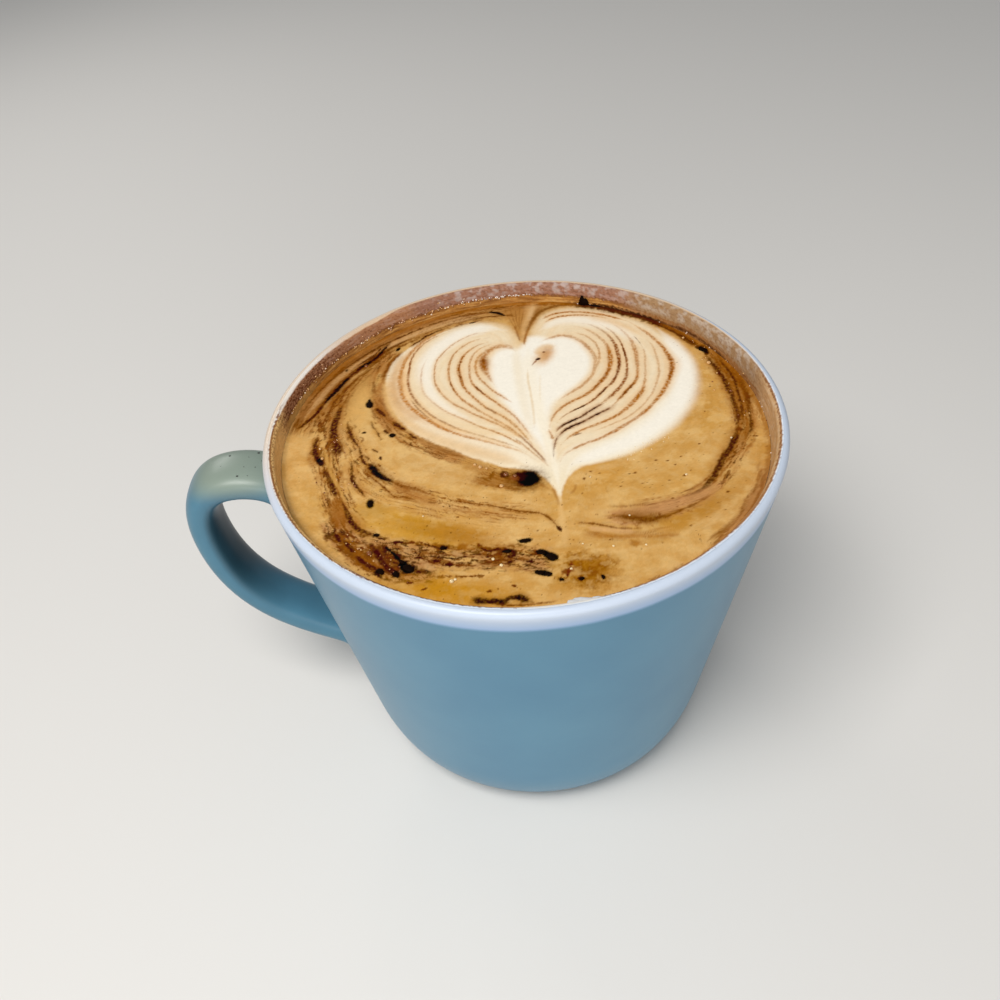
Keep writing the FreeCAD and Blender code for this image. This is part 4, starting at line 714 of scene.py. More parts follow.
    # lower left cluster
    cv.stroke([(-34.6, -23.6), (-33.6, -25.4), (-31.4, -28), (-29.2, -31), (-26.2, -34)], [1.4, 2.2, 3.0, 3.0, 2.2], [0.5, 0.7, 0.75, 0.75, 0.7], rgb(146, 92, 38), 0.8, 0.4, 0.3)
    mar([(-34.6, -23.8), (-34.0, -25.2), (-33.4, -26.2)], [0.6, 0.9, 0.6], 0.95, DARK)
    mar([(-33, -25.6), (-31.8, -27.4), (-30.7, -29.0)], [0.5, 0.9, 0.9], 0.92, DARK, broken=0.3)
    mar([(-30.6, -29.6), (-29.2, -31.2), (-27.6, -32.8), (-26.4, -33.8)], [0.8, 0.9, 0.9, 1.2], 0.92, DARK, broken=0.35)
    cv.blob(-25.9, -34.1, 1.0, 0.9, BLACK, 0.97, 0.35, -40, 0.3, -0.03, 0.6)
    mar([(-27.6, -27.4), (-26.9, -29.0), (-26, -31), (-24.9, -32.8), (-23.4, -34.6), (-22.6, -36)], [0.9, 1.2, 1.0, 1.0, 1.2, 0.6], [0.9, 0.95, 0.9, 0.9, 0.95, 0.8], DARK, 1.8, 0.6, broken=0.3)
    cv.blob(-23.0, -35.0, 0.7, 1.0, BLACK, 0.9, 0.4, 20, 0.3, -0.03, 0.6)
    cv.blob(-27.0, -24.9, 0.75, 0.45, BLACK, 0.95, 0.35, 0, 0.3)
    mar([(-25.5, -27.6), (-24.4, -29.0), (-23.3, -30.4), (-22.3, -32)], [0.3, 0.5, 0.7, 1.0], 1.0, BLACK, 1.6, 0.5, BROWN, 0.12, 0)
    cv.stroke([(-22.2, -31.8), (-21.6, -33.2), (-20.8, -34.0), (-19.8, -34.6)], [1.1, 1.9, 2.3, 1.0], 1.0, BLACK, 0.25, 0.16, 0, -0.04, 0.8)
    mar([(-19.8, -34.4), (-18.8, -34.8), (-17.6, -34.9)], 0.5, 0.9, DARK)
    for bx, by, bw, bh, rot in ((-22.9, -27.1, 0.9, 0.35, -10), (-20.6, -27.4, 0.5, 0.3, 0), (-18.8, -27.5, 0.5, 0.25, -10), (-14.8, -29.2, 0.8, 0.62, 0), (-19.1, -31.2, 0.7, 0.3, 0),
                                (-16.0, -32.3, 0.8, 0.35, -25), (-13.7, -33.4, 0.95, 0.42, -15), (-8.4, -29.2, 0.5, 0.45, 0), (-7.6, -30.2, 0.5, 0.4, -40), (-6.0, -30.4, 0.9, 0.3, 0),
                                (-3.6, -31.0, 1.2, 0.7, 0), (-2.4, -31.6, 0.7, 0.7, 0), (-5.2, -31.8, 0.6, 0.5, 0), (-20.6, -37.2, 0.5, 0.22, -10), (-17.9, -38.8, 0.55, 0.2, 25), (-6.9, -40.2, 0.4, 0.25, 0),
                                (-2.6, -39.3, 0.35, 0.22, 0), (0.3, -33.8, 0.75, 0.3, -12), (-22.8, -38.9, 0.18, 0.18, 0), (-29.6, -28.0, 0.5, 0.4, 0), (-15.6, -30.8, 0.25, 0.2, 0)):
        cv.blob(bx, by, bw, bh, DARK if bw > 0.6 else BROWN, 0.95, 0.4, rot, 0.3, -0.02, 0.5)
    mar([(-18.4, -27.6), (-17.2, -28.4), (-16.0, -29.0), (-15.2, -29.3)], 0.35, 0.85, DARK)
    cv.blob(-14.8, -29.25, 0.62, 0.5, BLACK, 1.0, 0.35)
    mar([(-8.3, -29.6), (-7.4, -30.5), (-6.2, -30.6), (-5.2, -30.2), (-4.2, -30.8)], 0.45, 0.9, DARK)
    mar([(-4.4, -32.2), (-6.0, -33.2), (-7.8, -33.8), (-9, -34.2)], [0.9, 0.7, 0.5, 0.3], [0.85, 0.8, 0.6, 0.3], BROWN, 2.2, 0.6, broken=0.5)
    cv.blob(-11.5, -29.2, 0.9, 0.7, rgb(150, 92, 34), 0.8, 0.5)
    mar([(-15.5, -36.2), (-13.8, -36.1), (-12, -36.5), (-9.6, -36.5), (-7.6, -36.4)], 0.25, [0.5, 0.8, 0.6, 0.7, 0.4], BROWN, 2.4, 0.5)
    # chunks right of centre at the bottom
    cv.blob(-0.4, -28.7, 1.15, 0.62, BLACK, 1.0, 0.28, 8, 0.25, -0.02, 0.7)
    cv.stroke([(1.2, -31.6), (2.4, -31.5), (3.4, -32.4), (4.4, -33.3), (5.0, -34.0)], [0.6, 1.1, 1.5, 2.0, 1.4], 1.0, BLACK, 0.25, 0.2, 0, -0.03, 0.8)
    cv.stroke([(0.8, -36.1), (1.8, -36.6), (3.0, -36.9), (3.9, -37.6)], [0.7, 1.3, 1.4, 0.6], 1.0, BLACK, 0.28, 0.2, 0, -0.03, 0.7)
    mar([(3.6, -36.8), (4.1, -35.8)], 0.25, 0.8, DARK)
    cv.blob(6.6, -36.6, 1.2, 0.7, rgb(110, 46, 16), 0.85, 0.5, 30, 0.35)
    cv.blob(7.2, -36.2, 0.35, 0.3, rgb(190, 120, 70), 0.6, 0.5)
    cv.blob(5.4, -38.5, 0.5, 0.42, DARK, 0.95, 0.4, 0, 0.3)
    cv.blob(8.8, -38.6, 0.62, 0.5, DARK, 0.95, 0.4, 0, 0.3)
    cv.blob(12.4, -38.5, 0.38, 0.6, DARK, 0.95, 0.4, 15, 0.3)
    # strip by the near lip
    mar([(-10.0, -41.3), (-9, -42.1), (-7.8, -42.4), (-6, -42.5), (-4.6, -42.9), (-3.4, -42.1), (-2, -42.1), (-0.8, -42.8), (0.6, -43.2)], [0.8, 1.6, 0.9, 1.0, 1.4, 0.8, 1.3, 1.1, 0.5], [0.9, 1, 0.9, 0.95, 1, 0.8, 1, 0.95, 0.7], INK, 1.7, 0.6, BROWN, 0.4, 0.25)
    mar([(-6.6, -43.2), (-4, -43.6), (-1.2, -43.8), (1.6, -43.6), (4.6, -43.3)], 0.35, [0.4, 0.8, 0.8, 0.6, 0.4], BROWN, 2.0, 0.5)
    cv.blob(16.6, 46.0, 1.4, 2.0, BLACK, 1.0, 0.3, -25, 0.15, 0.0, 0.7)

    # ---------------------------------------------------------------- specks
    rng = np.random.default_rng(5)
    n = 0
    while n < 1500:
        px, py = rng.uniform(-46, 46, 2)
        if px * px + py * py > 45.5 ** 2:
            continue
        t = rng.random()
        dens = 0.25
        if py < -14:
            dens = 0.8
        if -27 < py < -15 and -22 < px < 8:
            dens = 1.0
        if 8 < px < 34 and -20 < py < -8:
            dens = 0.55
        if px < -26:
            dens = 0.45
        if px < -36 and py < 6:
            dens = 0.15
        if py > -4 and -25 < px < 32:
            dens = 0.02
        if t > dens:
            n += 1
            continue
        rr = 0.05 + 0.10 * rng.random() ** 3
        dark = BROWN if rng.random() < 0.6 else DARK
        cv.blob(px, py, rr * rng.uniform(1, 1.6), rr, dark, rng.uniform(0.45, 0.9), 0.6, rng.uniform(0, 180), 0.1)
        n += 1
    for px, py, rr in ((24.9, -9.6, 0.28), (27.0, -10.0, 0.28), (29.6, -9.0, 0.2), (33.4, -5.8, 0.2), (28.2, -11.2, 0.16), (29.5, -14.4, 0.32), (20.6, -12.8, 0.3), (17.7, -16.2, 0.24),
                       (21.7, -15.8, 0.2), (26.6, -15.4, 0.2), (11.2, -13.4, 0.3), (12.6, -11.6, 0.3), (14.2, -12.2, 0.24), (36.4, -19.5, 0.24), (28.6, -27.5, 0.22), (26.6, -20.2, 0.24),
                       (23.7, -24.1, 0.3), (44.4, -4.6, 0.24), (1.9, -26.4, 0.22), (8.6, -25.3, 0.2), (14.4, -29.7, 0.22), (-15.6, -17.6, 0.2), (-12.3, -21.6, 0.2), (-17.4, -14.6, 0.2)):
        cv.blob(px, py, rr, rr * 0.8, BROWN, 0.9, 0.6, 20, 0.3)
    # stain where foam has dried along the wall
    edge = sstep(1.2, 0.2, 46.9 - r + 0.5 * cv.w1)
    deg = np.degrees(th)
    cv.mix(allk, edge * (0.65 * sstep(-150, -130, deg) * sstep(165, 150, deg)), rgb(146, 90, 38))
    nr = sstep(-80, -70, deg) * sstep(-12, -24, deg)
    cv.mix(allk, nr * sstep(2.8, 1.2, 46.9 - r + 0.25 * cv.w1 + 1.6 * cloud) * 0.7, rgb(180, 128, 80))
    cv.mix(allk, nr * sstep(0.55, 0.1, np.abs(46.9 - r - 1.9 + 0.30 * cv.w1 + 1.8 * cloud)) * 0.6 * sstep(-0.25, 0.25, fine), rgb(122, 74, 32))
    cv.mix(allk, nr * sstep(0.5, 0.1, np.abs(46.9 - r - 0.4 + 0.3 * cv.w1)) * 0.6, rgb(128, 76, 34))
    wall_dark = sstep(44, 50, deg) * sstep(76, 70, deg)
    cv.mix(allk, wall_dark * sstep(1.6, 0.5, 46.9 - r + 0.8 * cv.w1) * 0.9, rgb(66, 30, 8))
    # fine grain everywhere except on thick milk
    lum = cv.c.mean(1)
    g = 1 + (0.10 * mott + 0.07 * speck) * (1 - 0.75 * sstep(0.35, 0.7, lum))
    cv.c *= g[:, None]
    veil = 1 - sstep(0.15, 0.75, cv.c.mean(1))
    cv.c = cv.c * 0.985 - veil[:, None] * np.array([0.008, 0.013, 0.016])
    cv.c = np.clip(cv.c, 0.001, 0.98)
    cv.h += 0.05 * sstep(-0.2, 1.4, heart) + 0.025 * cloud + 0.02 * mott * (1 - sstep(0, 1, heart))
    cv.h += -0.12 * sstep(0.6, 0.0, 46.9 - r) * 0 + 0.25 * sstep(0.7, 0.0, 46.9 - r)
    return heart


# ------------------------------------------------------------------ materials
def principled(name):
    m = bpy.data.materials.new(name)
    m.use_nodes = True
    return m, m.node_tree.nodes, m.node_tree.links, m.node_tree.nodes["Principled BSDF"]


def foam_material():
    m, n, l, b = principled("latte_foam")
    a = n.new("ShaderNodeAttribute")
    a.attribute_name = "tint"
    tc = n.new("ShaderNodeTexCoord")
    f1 = n.new("ShaderNodeTexNoise")
    f1.inputs["Scale"].default_value = 1500
    f1.inputs["Detail"].default_value = 3
    f1.inputs["Roughness"].default_value = 0.6
    l.new(tc.outputs["Object"], f1.inputs["Vector"])
    mr = n.new("ShaderNodeMapRange")
    mr.inputs["From Min"].default_value = 0.3
    mr.inputs["From Max"].default_value = 0.7
    mr.inputs["To Min"].default_value = 0.97
    mr.inputs["To Max"].default_value = 1.03
    l.new(f1.outputs["Fac"], mr.inputs["Value"])
    mul = n.new("ShaderNodeMix")
    mul.data_type = "RGBA"
    mul.blend_type = "MULTIPLY"
    mul.inputs["Factor"].default_value = 1.0
    l.new(a.outputs["Color"], mul.inputs[6])
    comb = n.new("ShaderNodeCombineColor")
    for i in range(3):
        l.new(mr.outputs["Result"], comb.inputs[i])
    l.new(comb.outputs["Color"], mul.inputs[7])
    l.new(mul.outputs[2], b.inputs["Base Color"])
    g = n.new("ShaderNodeAttribute")
    g.attribute_name = "gloss"
    ro = n.new("ShaderNodeMapRange")
    ro.inputs["To Min"].default_value = 0.55
    ro.inputs["To Max"].default_value = 0.22
    l.new(g.outputs["Fac"], ro.inputs["Value"])
    l.new(ro.outputs["Result"], b.inputs["Roughness"])
    b.inputs["IOR"].default_value = 1.36
    b.inputs["Specular IOR Level"].default_value = 0.07
    f2 = n.new("ShaderNodeTexNoise")
    f2.inputs["Scale"].default_value = 900
    f2.inputs["Detail"].default_value = 4
    l.new(tc.outputs["Object"], f2.inputs["Vector"])
    bp = n.new("ShaderNodeBump")
    bp.inputs["Strength"].default_value = 0.07
    bp.inputs["Distance"].default_value = 0.0002
    l.new(f2.outputs["Fac"], bp.inputs["Height"])
    l.new(bp.outputs["Normal"], b.inputs["Normal"])
    return m


def make_object(name, verts, faces, mat, smooth=True, replace=()):
    me = bpy.data.meshes.new(name)
    verts = np.asarray(verts, dtype=np.float32)
    faces = np.asarray(faces, dtype=np.int32)
    me.vertices.add(len(verts))
    me.vertices.foreach_set("co", verts.ravel())
    k = faces.shape[1]
    me.loops.add(faces.size)
    me.loops.foreach_set("vertex_index", faces.ravel())
    me.polygons.add(len(faces))
    me.polygons.foreach_set("loop_start", np.arange(0, faces.size, k, dtype=np.int32))
    me.update(calc_edges=True)
    me.validate()
    if smooth:
        me.polygons.foreach_set("use_smooth", np.ones(len(me.polygons), dtype=bool))
    me.materials.append(mat)
    ob = bpy.data.objects.new(name, me)
    scene.collection.objects.link(ob)
    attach(ob, "root")
    if replace:
        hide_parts(*replace)
    return ob


def set_color(me, name, cols):
    at = me.attributes.new(name, "FLOAT_COLOR", "POINT")
    rgba = np.ones((len(me.vertices), 4), dtype=np.float32)
    rgba[:, :3] = cols
    at.data.foreach_set("color", rgba.ravel())


def set_float(me, name, vals):
    at = me.attributes.new(name, "FLOAT", "POINT")
    at.data.foreach_set("value", np.asarray(vals, dtype=np.float32))


# ------------------------------------------------------------------ foam mesh
FOAM_Z = 73.85
FOAM_R = 46.93
N = 438


def disc(n):
    """square grid folded onto a disc, cells of nearly equal size"""
    a = np.linspace(-1, 1, n + 1)
    U, V = np.meshgrid(a, a, indexing="ij")
    r = np.where(np.abs(U) > np.abs(V), U, V)
    with np.errstate(divide="ignore", invalid="ignore"):
        phi = np.where(np.abs(U) > np.abs(V), (math.pi / 4) * (V / np.where(U == 0, 1, U)), math.pi / 2 - (math.pi / 4) * (U / np.where(V == 0, 1, V)))
    r = np.where((U == 0) & (V == 0), 0, r)
    return r * np.cos(phi) * FOAM_R, r * np.sin(phi) * FOAM_R


X, Y = disc(N)
cv = Canvas(X.ravel(), Y.ravel())
paint(cv)
Z = FOAM_Z + 0.14 + cv.h
foam_mat = foam_material()
P = np.stack([cv.x, cv.y, Z], 1) * MM
idx = np.arange((N + 1) * (N + 1)).reshape(N + 1, N + 1)
half = N // 2
for name, lo, hi in (("foam_left", 0, half), ("foam_right", half, N)):
    sub = idx[lo:hi + 1]
    base = sub[0, 0]
    k = sub.ravel()
    loc = (sub - base)
    q = np.stack([loc[:-1, :-1], loc[1:, :-1], loc[1:, 1:], loc[:-1, 1:]], -1).reshape(-1, 4)
    ob = make_object(name, P[k], q, foam_mat)
    set_color(ob.data, "tint", cv.c[k])
    set_float(ob.data, "gloss", cv.gloss[k])

# ------------------------------------------------------------------ film on the wall above the foam
RIM_R, RIM_Z, LIP, TAPER, ITAPER = 50.0, 77.3, 1.15, 0.1805, 0.2025


def outer_r(z):
    return RIM_R - TAPER * (RIM_Z - z)


def inner_r(z):
    return RIM_R - 2 * LIP - ITAPER * (RIM_Z - z)


NT = 1500
zz = np.linspace(FOAM_Z - 0.35, RIM_Z, 22)
rr_ = inner_r(zz) - 0.07
aa = np.linspace(math.pi, math.radians(93), 12)[1:]
fr = np.concatenate([rr_, RIM_R - LIP + (LIP + 0.06) * np.cos(aa)])
fz = np.concatenate([zz, RIM_Z + (LIP + 0.06) * np.sin(aa)])
ft_ = np.concatenate([[0], np.cumsum(np.hypot(np.diff(fr), np.diff(fz)))]) - 0.35
tt = np.linspace(-math.pi, math.pi, NT, endpoint=False)
TH, TT = np.meshgrid(tt, ft_, indexing="ij")
film_cv = Canvas((TH * 47.7).ravel(), TT.ravel())


def paint_film(cv):
    deg = cv.x / 47.7 * 180 / math.pi
    t = cv.y
    al = np.arange(len(t))

    def win(a, b, s=6.0):
        d = deg.copy()
        if b > 180:
            d = np.where(d < a - 60, d + 360, d)
        return sstep(a - s, a + s, d) * (1 - sstep(b - s, b + s, d))
    u = cv.x
    n1 = fbm(u * 0.35, t * 1.3, 1001, 4, 0.6)
    n2 = fbm(u * 1.4, t * 2.4, 1011, 3, 0.6)
    n3 = fbm(u * 0.12, t * 0.8, 1021, 3)
    n4 = fbm(u * 2.6, t * 3.2, 1031, 2)
    n5 = fbm(u * 0.5, t * 0.6, 1041, 3)
    st = fbm(u * 0.13, t * 2.2 + 0.8 * n3, 1061, 4, 0.6)        # long streaks round the wall
    back = win(58, 121)
    lb = win(118, 171, 4)
    rb = win(8, 62)
    rt = win(-44, 12)
    lf = win(169, 236, 4)
    front = win(232, 318, 5)
    top = 5.05 - 0.60 * win(124, 174, 5) + 0.10 * n1
    under = sstep(0.16, -0.12, t - top) * (1 - front)
    cv.c[:] = rgb(222, 230, 240)
    # painted reflection: from 20 to 150 degrees the lip above the film is tinted warm, as if reflecting a warm
    # surrounding
    cv.mix(al, win(20, 150, 20), rgb(214, 186, 156))
    cv.mix(al, win(150, 205, 10), rgb(232, 224, 214))
    cv.mix(al, under, rgb(196, 152, 100))
    # right: tan foam drawn thinly up the wall
    cv.mix(al, under * rt, rgb(198, 158, 112))
    cv.mix(al, under * rt * sstep(0.0, 0.45, n1) * 0.45, rgb(216, 190, 158))
    cv.mix(al, under * rt * sstep(0.1, 0.5, -st) * 0.4, rgb(160, 112, 64))
    # left: foam drawn up the wall, streaky; its colour is painted light, brighter than the foam to make up for the
    # shade on this wall
    cv.mix(al, under * lf, rgb(244, 200, 132))
    cv.mix(al, under * lf * sstep(0.0, 0.4, st) * 0.5, rgb(218, 166, 98))
    # back right: thin pale film over the glaze, brown at its foot
    cv.mix(al, under * rb, rgb(158, 126, 92))
    cv.mix(al, under * win(14, 60) * sstep(-0.2, 0.35, n5) * sstep(1.8, 2.8, t) * 0.7, rgb(184, 168, 152))
    cv.mix(al, under * rb * sstep(0.1, 0.4, -n2) * 0.45, rgb(138, 98, 60))
    cv.mix(al, rb * sstep(2.0, 1.0, t + 0.6 * n2 + 0.5 * n3) * 0.85, rgb(150, 98, 48))
    cv.mix(al, rb * sstep(2.2, 1.2, t) * sstep(0.05, 0.45, st) * 0.6, rgb(104, 56, 20))
    # back: greyish mauve above a line of froth, crema below it
    cv.mix(al, under * back, rgb(152, 108, 86))
    cv.mix(al, under * back * sstep(0.0, 0.4, n1) * 0.5, rgb(178, 144, 130))
    cv.mix(al, under * back * sstep(0.05, 0.45, -n2) * 0.5, rgb(112, 70, 48))
    cv.mix(al, under * win(58, 108, 8) * sstep(-0.05, 0.35, n5) * sstep(2.2, 3.0, t) * 0.6, rgb(192, 178, 172))
    # left and back: red-brown froth, thinning to mauve
    cv.mix(al, under * lb, rgb(172, 122, 88))
    cv.mix(al, under * win(142, 174, 6) * sstep(-0.1, 0.25, n2) * 0.85, rgb(92, 40, 14))
    cv.mix(al, under * win(142, 174, 6) * sstep(0.15, 0.4, n4) * 0.6, rgb(58, 22, 6))
    cv.mix(al, under * lb * sstep(0.05, 0.4, n2) * 0.6, rgb(112, 64, 36))
    cv.mix(al, under * win(116, 148, 6) * sstep(0.0, 0.4, n1) * 0.7, rgb(180, 140, 116))
    low = (back + lb).clip(0, 1) * sstep(2.25, 1.75, t + 0.5 * n2 + 0.3 * n3)
    cv.mix(al, low, rgb(176, 122, 62))
    cv.mix(al, low * sstep(-0.05, 0.4, st) * 0.75, rgb(126, 78, 34))
    cv.mix(al, low * sstep(0.1, 0.45, -st) * 0.7, rgb(206, 158, 92))
    cv.mix(al, low * win(156, 176, 5) * 0.7, rgb(206, 160, 90))
    cv.mix(al, (back + lb).clip(0, 1) * sstep(0.30, 0.05, np.abs(t - 2.0 + 0.5 * n2 + 0.3 * n3)) * 0.7, rgb(104, 58, 28))
    # dried line under the lip, left and right
    line = sstep(0.30, 0.06, np.abs(t - 4.92 + 0.16 * n3) + 0.35 * n2)
    cv.mix(al, (rt * 0.9 + lf).clip(0, 1) * line * 0.9, rgb(126, 74, 32))
    cv.mix(al, win(150, 214, 6) * under * sstep(0.0, 0.3, n2) * sstep(3.2, 4.6, t) * 0.8, rgb(116, 62, 24))
    # front: stain on the inner edge of the lip
    cv.mix(al, front * sstep(0.22, -0.2, t - 4.62 + 0.35 * n1), rgb(208, 172, 126))
    cv.mix(al, front * sstep(3.8, 4.3, t) * sstep(0.22, -0.2, t - 4.62 + 0.35 * n1), rgb(182, 130, 74))
    cv.mix(al, front * sstep(0.36, 0.08, np.abs(t - 4.66 + 0.2 * n3) + 0.4 * n2) * 0.95, rgb(118, 68, 28))
    cv.mix(al, win(290, 330, 6) * sstep(0.25, -0.2, t - 4.95 + 0.4 * n1) * 0.9, rgb(170, 118, 70))
    cv.mix(al, win(268, 284, 3) * sstep(0.5, 0.0, t - 4.9 + 0.4 * n1), rgb(236, 232, 224))
    # contact line with the foam, heaviest at the back right
    cv.mix(al, sstep(0.4, 0.0, t + 0.4 * n2) * 0.45 * (1 - lf) * (1 - (back + lb).clip(0, 1) * 0.7), rgb(110, 62, 26))
    cv.mix(al, win(46, 73, 4) * sstep(1.0, 0.5, t + 0.7 * n2 + 0.4 * n3) * 0.95, rgb(58, 26, 8))
    cv.stroke([(38.5, 0.5), (34.5, 0.85), (30.5, 0.95), (26.5, 0.75), (22.0, 0.45), (17.5, 0.0)], 0.55, 0.85, rgb(64, 28, 8), 0.6, 0.3, 0.4)
    cv.c = np.clip(cv.c * (1 + 0.14 * n2 * sstep(5.2, 4.4, t))[:, None], 0.001, 0.97)
    cv.gloss = (0.75 - 0.45 * front) * sstep(4.4, 3.8, t) + 0.45


paint_film(film_cv)
rel = 0.05 * fbm(film_cv.x * 0.9, film_cv.y * 1.6, 1101, 3) * sstep(4.6, 3.6, film_cv.y)
FR = (np.broadcast_to(fr, (NT, len(fr))).ravel() - 0.03 + rel)
fv = np.stack([FR * np.cos(TH.ravel()), FR * np.sin(TH.ravel()), np.broadcast_to(fz, (NT, len(fz))).ravel()], 1) * MM
fi = np.arange(NT * len(fr)).reshape(NT, len(fr))
fj = np.roll(fi, -1, axis=0)
film_faces = np.stack([fi[:, :-1], fi[:, 1:], fj[:, 1:], fj[:, :-1]], -1).reshape(-1, 4)
film = make_object("wall_film", fv, film_faces, foam_mat)
set_color(film.data, "tint", film_cv.c)
set_float(film.data, "gloss", film_cv.gloss)

# ------------------------------------------------------------------ bubbles and lumps
def sphere(sub):
    import bmesh as _b
    bm_ = _b.new()
    _b.ops.create_icosphere(bm_, subdivisions=sub, radius=1.0)
    v_ = np.array([v.co[:] for v in bm_.verts])
    f_ = np.array([[q.index for q in f.verts] for f in bm_.faces])
    bm_.free()
    return v_, f_


SV, SF = sphere(2)
B_V, B_F, B_C = [], [], []


def bubble(x, y, z, r, col, flat=0.7):
    B_F.append(SF + sum(len(v) for v in B_V))
    B_V.append(SV * np.array([r, r, r * flat]) + np.array([x, y, z]))
    B_C.append(np.tile(col, (len(SV), 1)))


rng = np.random.default_rng(77)
SURF = FOAM_Z + 0.16
TANB, BRB, WHB = rgb(206, 160, 104), rgb(128, 74, 36), rgb(226, 200, 156)
for x_, y_, r_ in ((-1.5, -11.5, 0.42), (-3.2, -10.9, 0.5), (-4.1, -14.0, 0.42), (-9.0, -7.5, 0.34), (-8.0, -8.3, 0.42), (-6.8, -8.8, 0.28), (-32.0, 27.2, 0.42), (39.3, 19.4, 0.45), (35.5, 28.8, 0.28),
                   (42.0, 9.5, 0.32), (39.6, -4.7, 0.24), (-31.8, -11.3, 0.3), (-36.8, 2.2, 0.4), (-38.9, -2.6, 0.34), (-39.6, 0.4, 0.3), (-6.1, -32.8, 0.3), (-4.7, -34.4, 0.34), (-13.3, -37.5, 0.42), (-12.7, -37.1, 0.3),
                   (12.4, -13.2, 0.18), (29.8, -14.2, 0.26), (18.4, -24.0, 0.2), (14.8, -31.4, 0.24), (20.4, -31.6, 0.24), (9.6, -30.4, 0.2), (-18.6, -20.8, 0.2), (-28.0, -29.6, 0.55), (7.2, -36.2, 0.26)):
    bubble(x_, y_, SURF + 0.05, r_, (rgb(236, 212, 164) if y_ < -30 else WHB) if r_ < 0.27 or (x_, y_) in ((-13.3, -37.5), (-12.7, -37.1), (-6.1, -32.8), (-4.7, -34.4)) else (TANB if rng.random() < 0.5 else BRB))
for _ in range(42):        # sparkle where the milk thins out on the right
    t_ = rng.random()
    bubble(18.5 + 9 * t_ + rng.normal(0, 0.8), -8.4 + 5.4 * t_ + rng.normal(0, 0.7), SURF + 0.02, rng.uniform(0.06, 0.13), rgb(240, 216, 172))
for _ in range(150):       # froth at the foot of the wall, left and back
    d_ = math.radians(rng.uniform(88, 168))
    h_ = 1.85 + rng.normal(0.0, 0.10) if rng.random() < 0.72 else rng.uniform(1.2, 3.4)
    z_ = FOAM_Z + h_
    rr = inner_r(z_) - 0.1
    bubble(rr * math.cos(d_), rr * math.sin(d_), z_, rng.uniform(0.10, 0.24), [TANB, BRB, rgb(196, 150, 112), rgb(232, 206, 176)][int(rng.integers(4))], 0.9)
for _ in range(50):
    d_ = math.radians(rng.uniform(84, 104))
    z_ = FOAM_Z + 2.1 + rng.normal(0, 0.12)
    rr = inner_r(z_) - 0.1
    bubble(rr * math.cos(d_), rr * math.sin(d_), z_, rng.uniform(0.08, 0.17), rgb(226, 214, 206), 0.9)
for _ in range(60):
    d_ = math.radians(rng.uniform(-60, 84))
    z_ = FOAM_Z + abs(rng.normal(0.1, 0.4))
    rr = inner_r(z_) - 0.1
    bubble(rr * math.cos(d_), rr * math.sin(d_), z_, rng.uniform(0.08, 0.18), [TANB, BRB, rgb(214, 190, 172)][int(rng.integers(3))], 0.9)
for _ in range(90):
    k_ = int(rng.integers(3))
    a0, a1 = (((-38, 8), (-34, -16)), ((-33, -25), (-20, -35)), ((38, 28), (43, 0)))[k_]
    t_ = rng.random()
    bubble(a0[0] + (a1[0] - a0[0]) * t_ + rng.normal(0, 1.4), a0[1] + (a1[1] - a0[1]) * t_ + rng.normal(0, 1.4), SURF, rng.uniform(0.08, 0.2), TANB if rng.random() < 0.5 else BRB)
bub_m, bn, bl, bb = principled("froth_bubbles")
ba = bn.new("ShaderNodeAttribute")
ba.attribute_name = "tint"
bl.new(ba.outputs["Color"], bb.inputs["Base Color"])
bb.inputs["Roughness"].default_value = 0.16
bb.inputs["Specular IOR Level"].default_value = 0.35
bub = make_object("froth_bubbles", np.vstack(B_V) * MM, np.vstack(B_F), bub_m)
set_color(bub.data, "tint", np.vstack(B_C))

# dark cocoa lumps standing a little proud of the foam
SV3, SF3 = sphere(3)
C_V, C_F = [], []


def lump(x, y, rx, ry, h, rot, seed, z=None):
    c_, s_ = math.cos(math.radians(rot)), math.sin(math.radians(rot))
    n_ = 1 + 0.45 * noise2(SV3[:, 0] * 1.6 + seed * 3.1, SV3[:, 1] * 1.6 + SV3[:, 2], 2000 + seed)
    v_ = SV3 * n_[:, None] * np.array([rx, ry, h])
    v_ = np.stack([v_[:, 0] * c_ - v_[:, 1] * s_ + x, v_[:, 0] * s_ + v_[:, 1] * c_ + y, v_[:, 2] + (SURF - 0.03 if z is None else z)], 1)
    C_F.append(SF3 + sum(len(v) for v in C_V))
    C_V.append(v_)


for q_ in ((-30.5, 13.6, 0.62, 0.9, 0.16, 8), (-25.3, 3.2, 0.6, 0.42, 0.14, -20), (-28.6, -16.5, 0.55, 1.0, 0.2, 4), (-20.9, -33.7, 1.2, 0.7, 0.25, -28), (-22.2, -32.0, 0.35, 0.7, 0.16, 40), (-25.8, -34.1, 0.8, 0.6, 0.2, -35),
           (-23.0, -35.0, 0.5, 0.8, 0.18, 25), (2.3, -31.8, 0.9, 0.5, 0.2, -12), (4.1, -33.1, 1.0, 0.75, 0.24, -40), (1.8, -36.6, 0.8, 0.45, 0.2, -25), (3.2, -37.0, 0.7, 0.45, 0.18, -10), (-0.45, -28.7, 0.95, 0.42, 0.2, 8),
           (-14.9, -29.3, 0.55, 0.42, 0.16, 0), (-27.0, -24.9, 0.6, 0.32, 0.14, 0), (38.8, 24.2, 0.7, 1.1, 0.3, 40), (8.8, -38.6, 0.5, 0.36, 0.14, 15), (5.4, -38.5, 0.4, 0.3, 0.12, 0), (12.4, -38.5, 0.3, 0.5, 0.12, 10),
           (-25.3, 32.6, 0.55, 0.3, 0.12, 52), (-3.6, -31.0, 0.8, 0.4, 0.16, 0)):
    lump(*q_, seed=len(C_V))
lump(15.85, 44.2, 1.25, 0.4, 1.1, -19.7, 50, FOAM_Z + 0.75)
lump(15.5, 44.3, 0.5, 0.3, 1.7, -19.7, 51, FOAM_Z + 0.9)
lump(18.2, 43.2, 1.6, 0.25, 0.4, -23, 52, FOAM_Z + 0.2)
co_m, cn, cl_, cb = principled("cocoa")
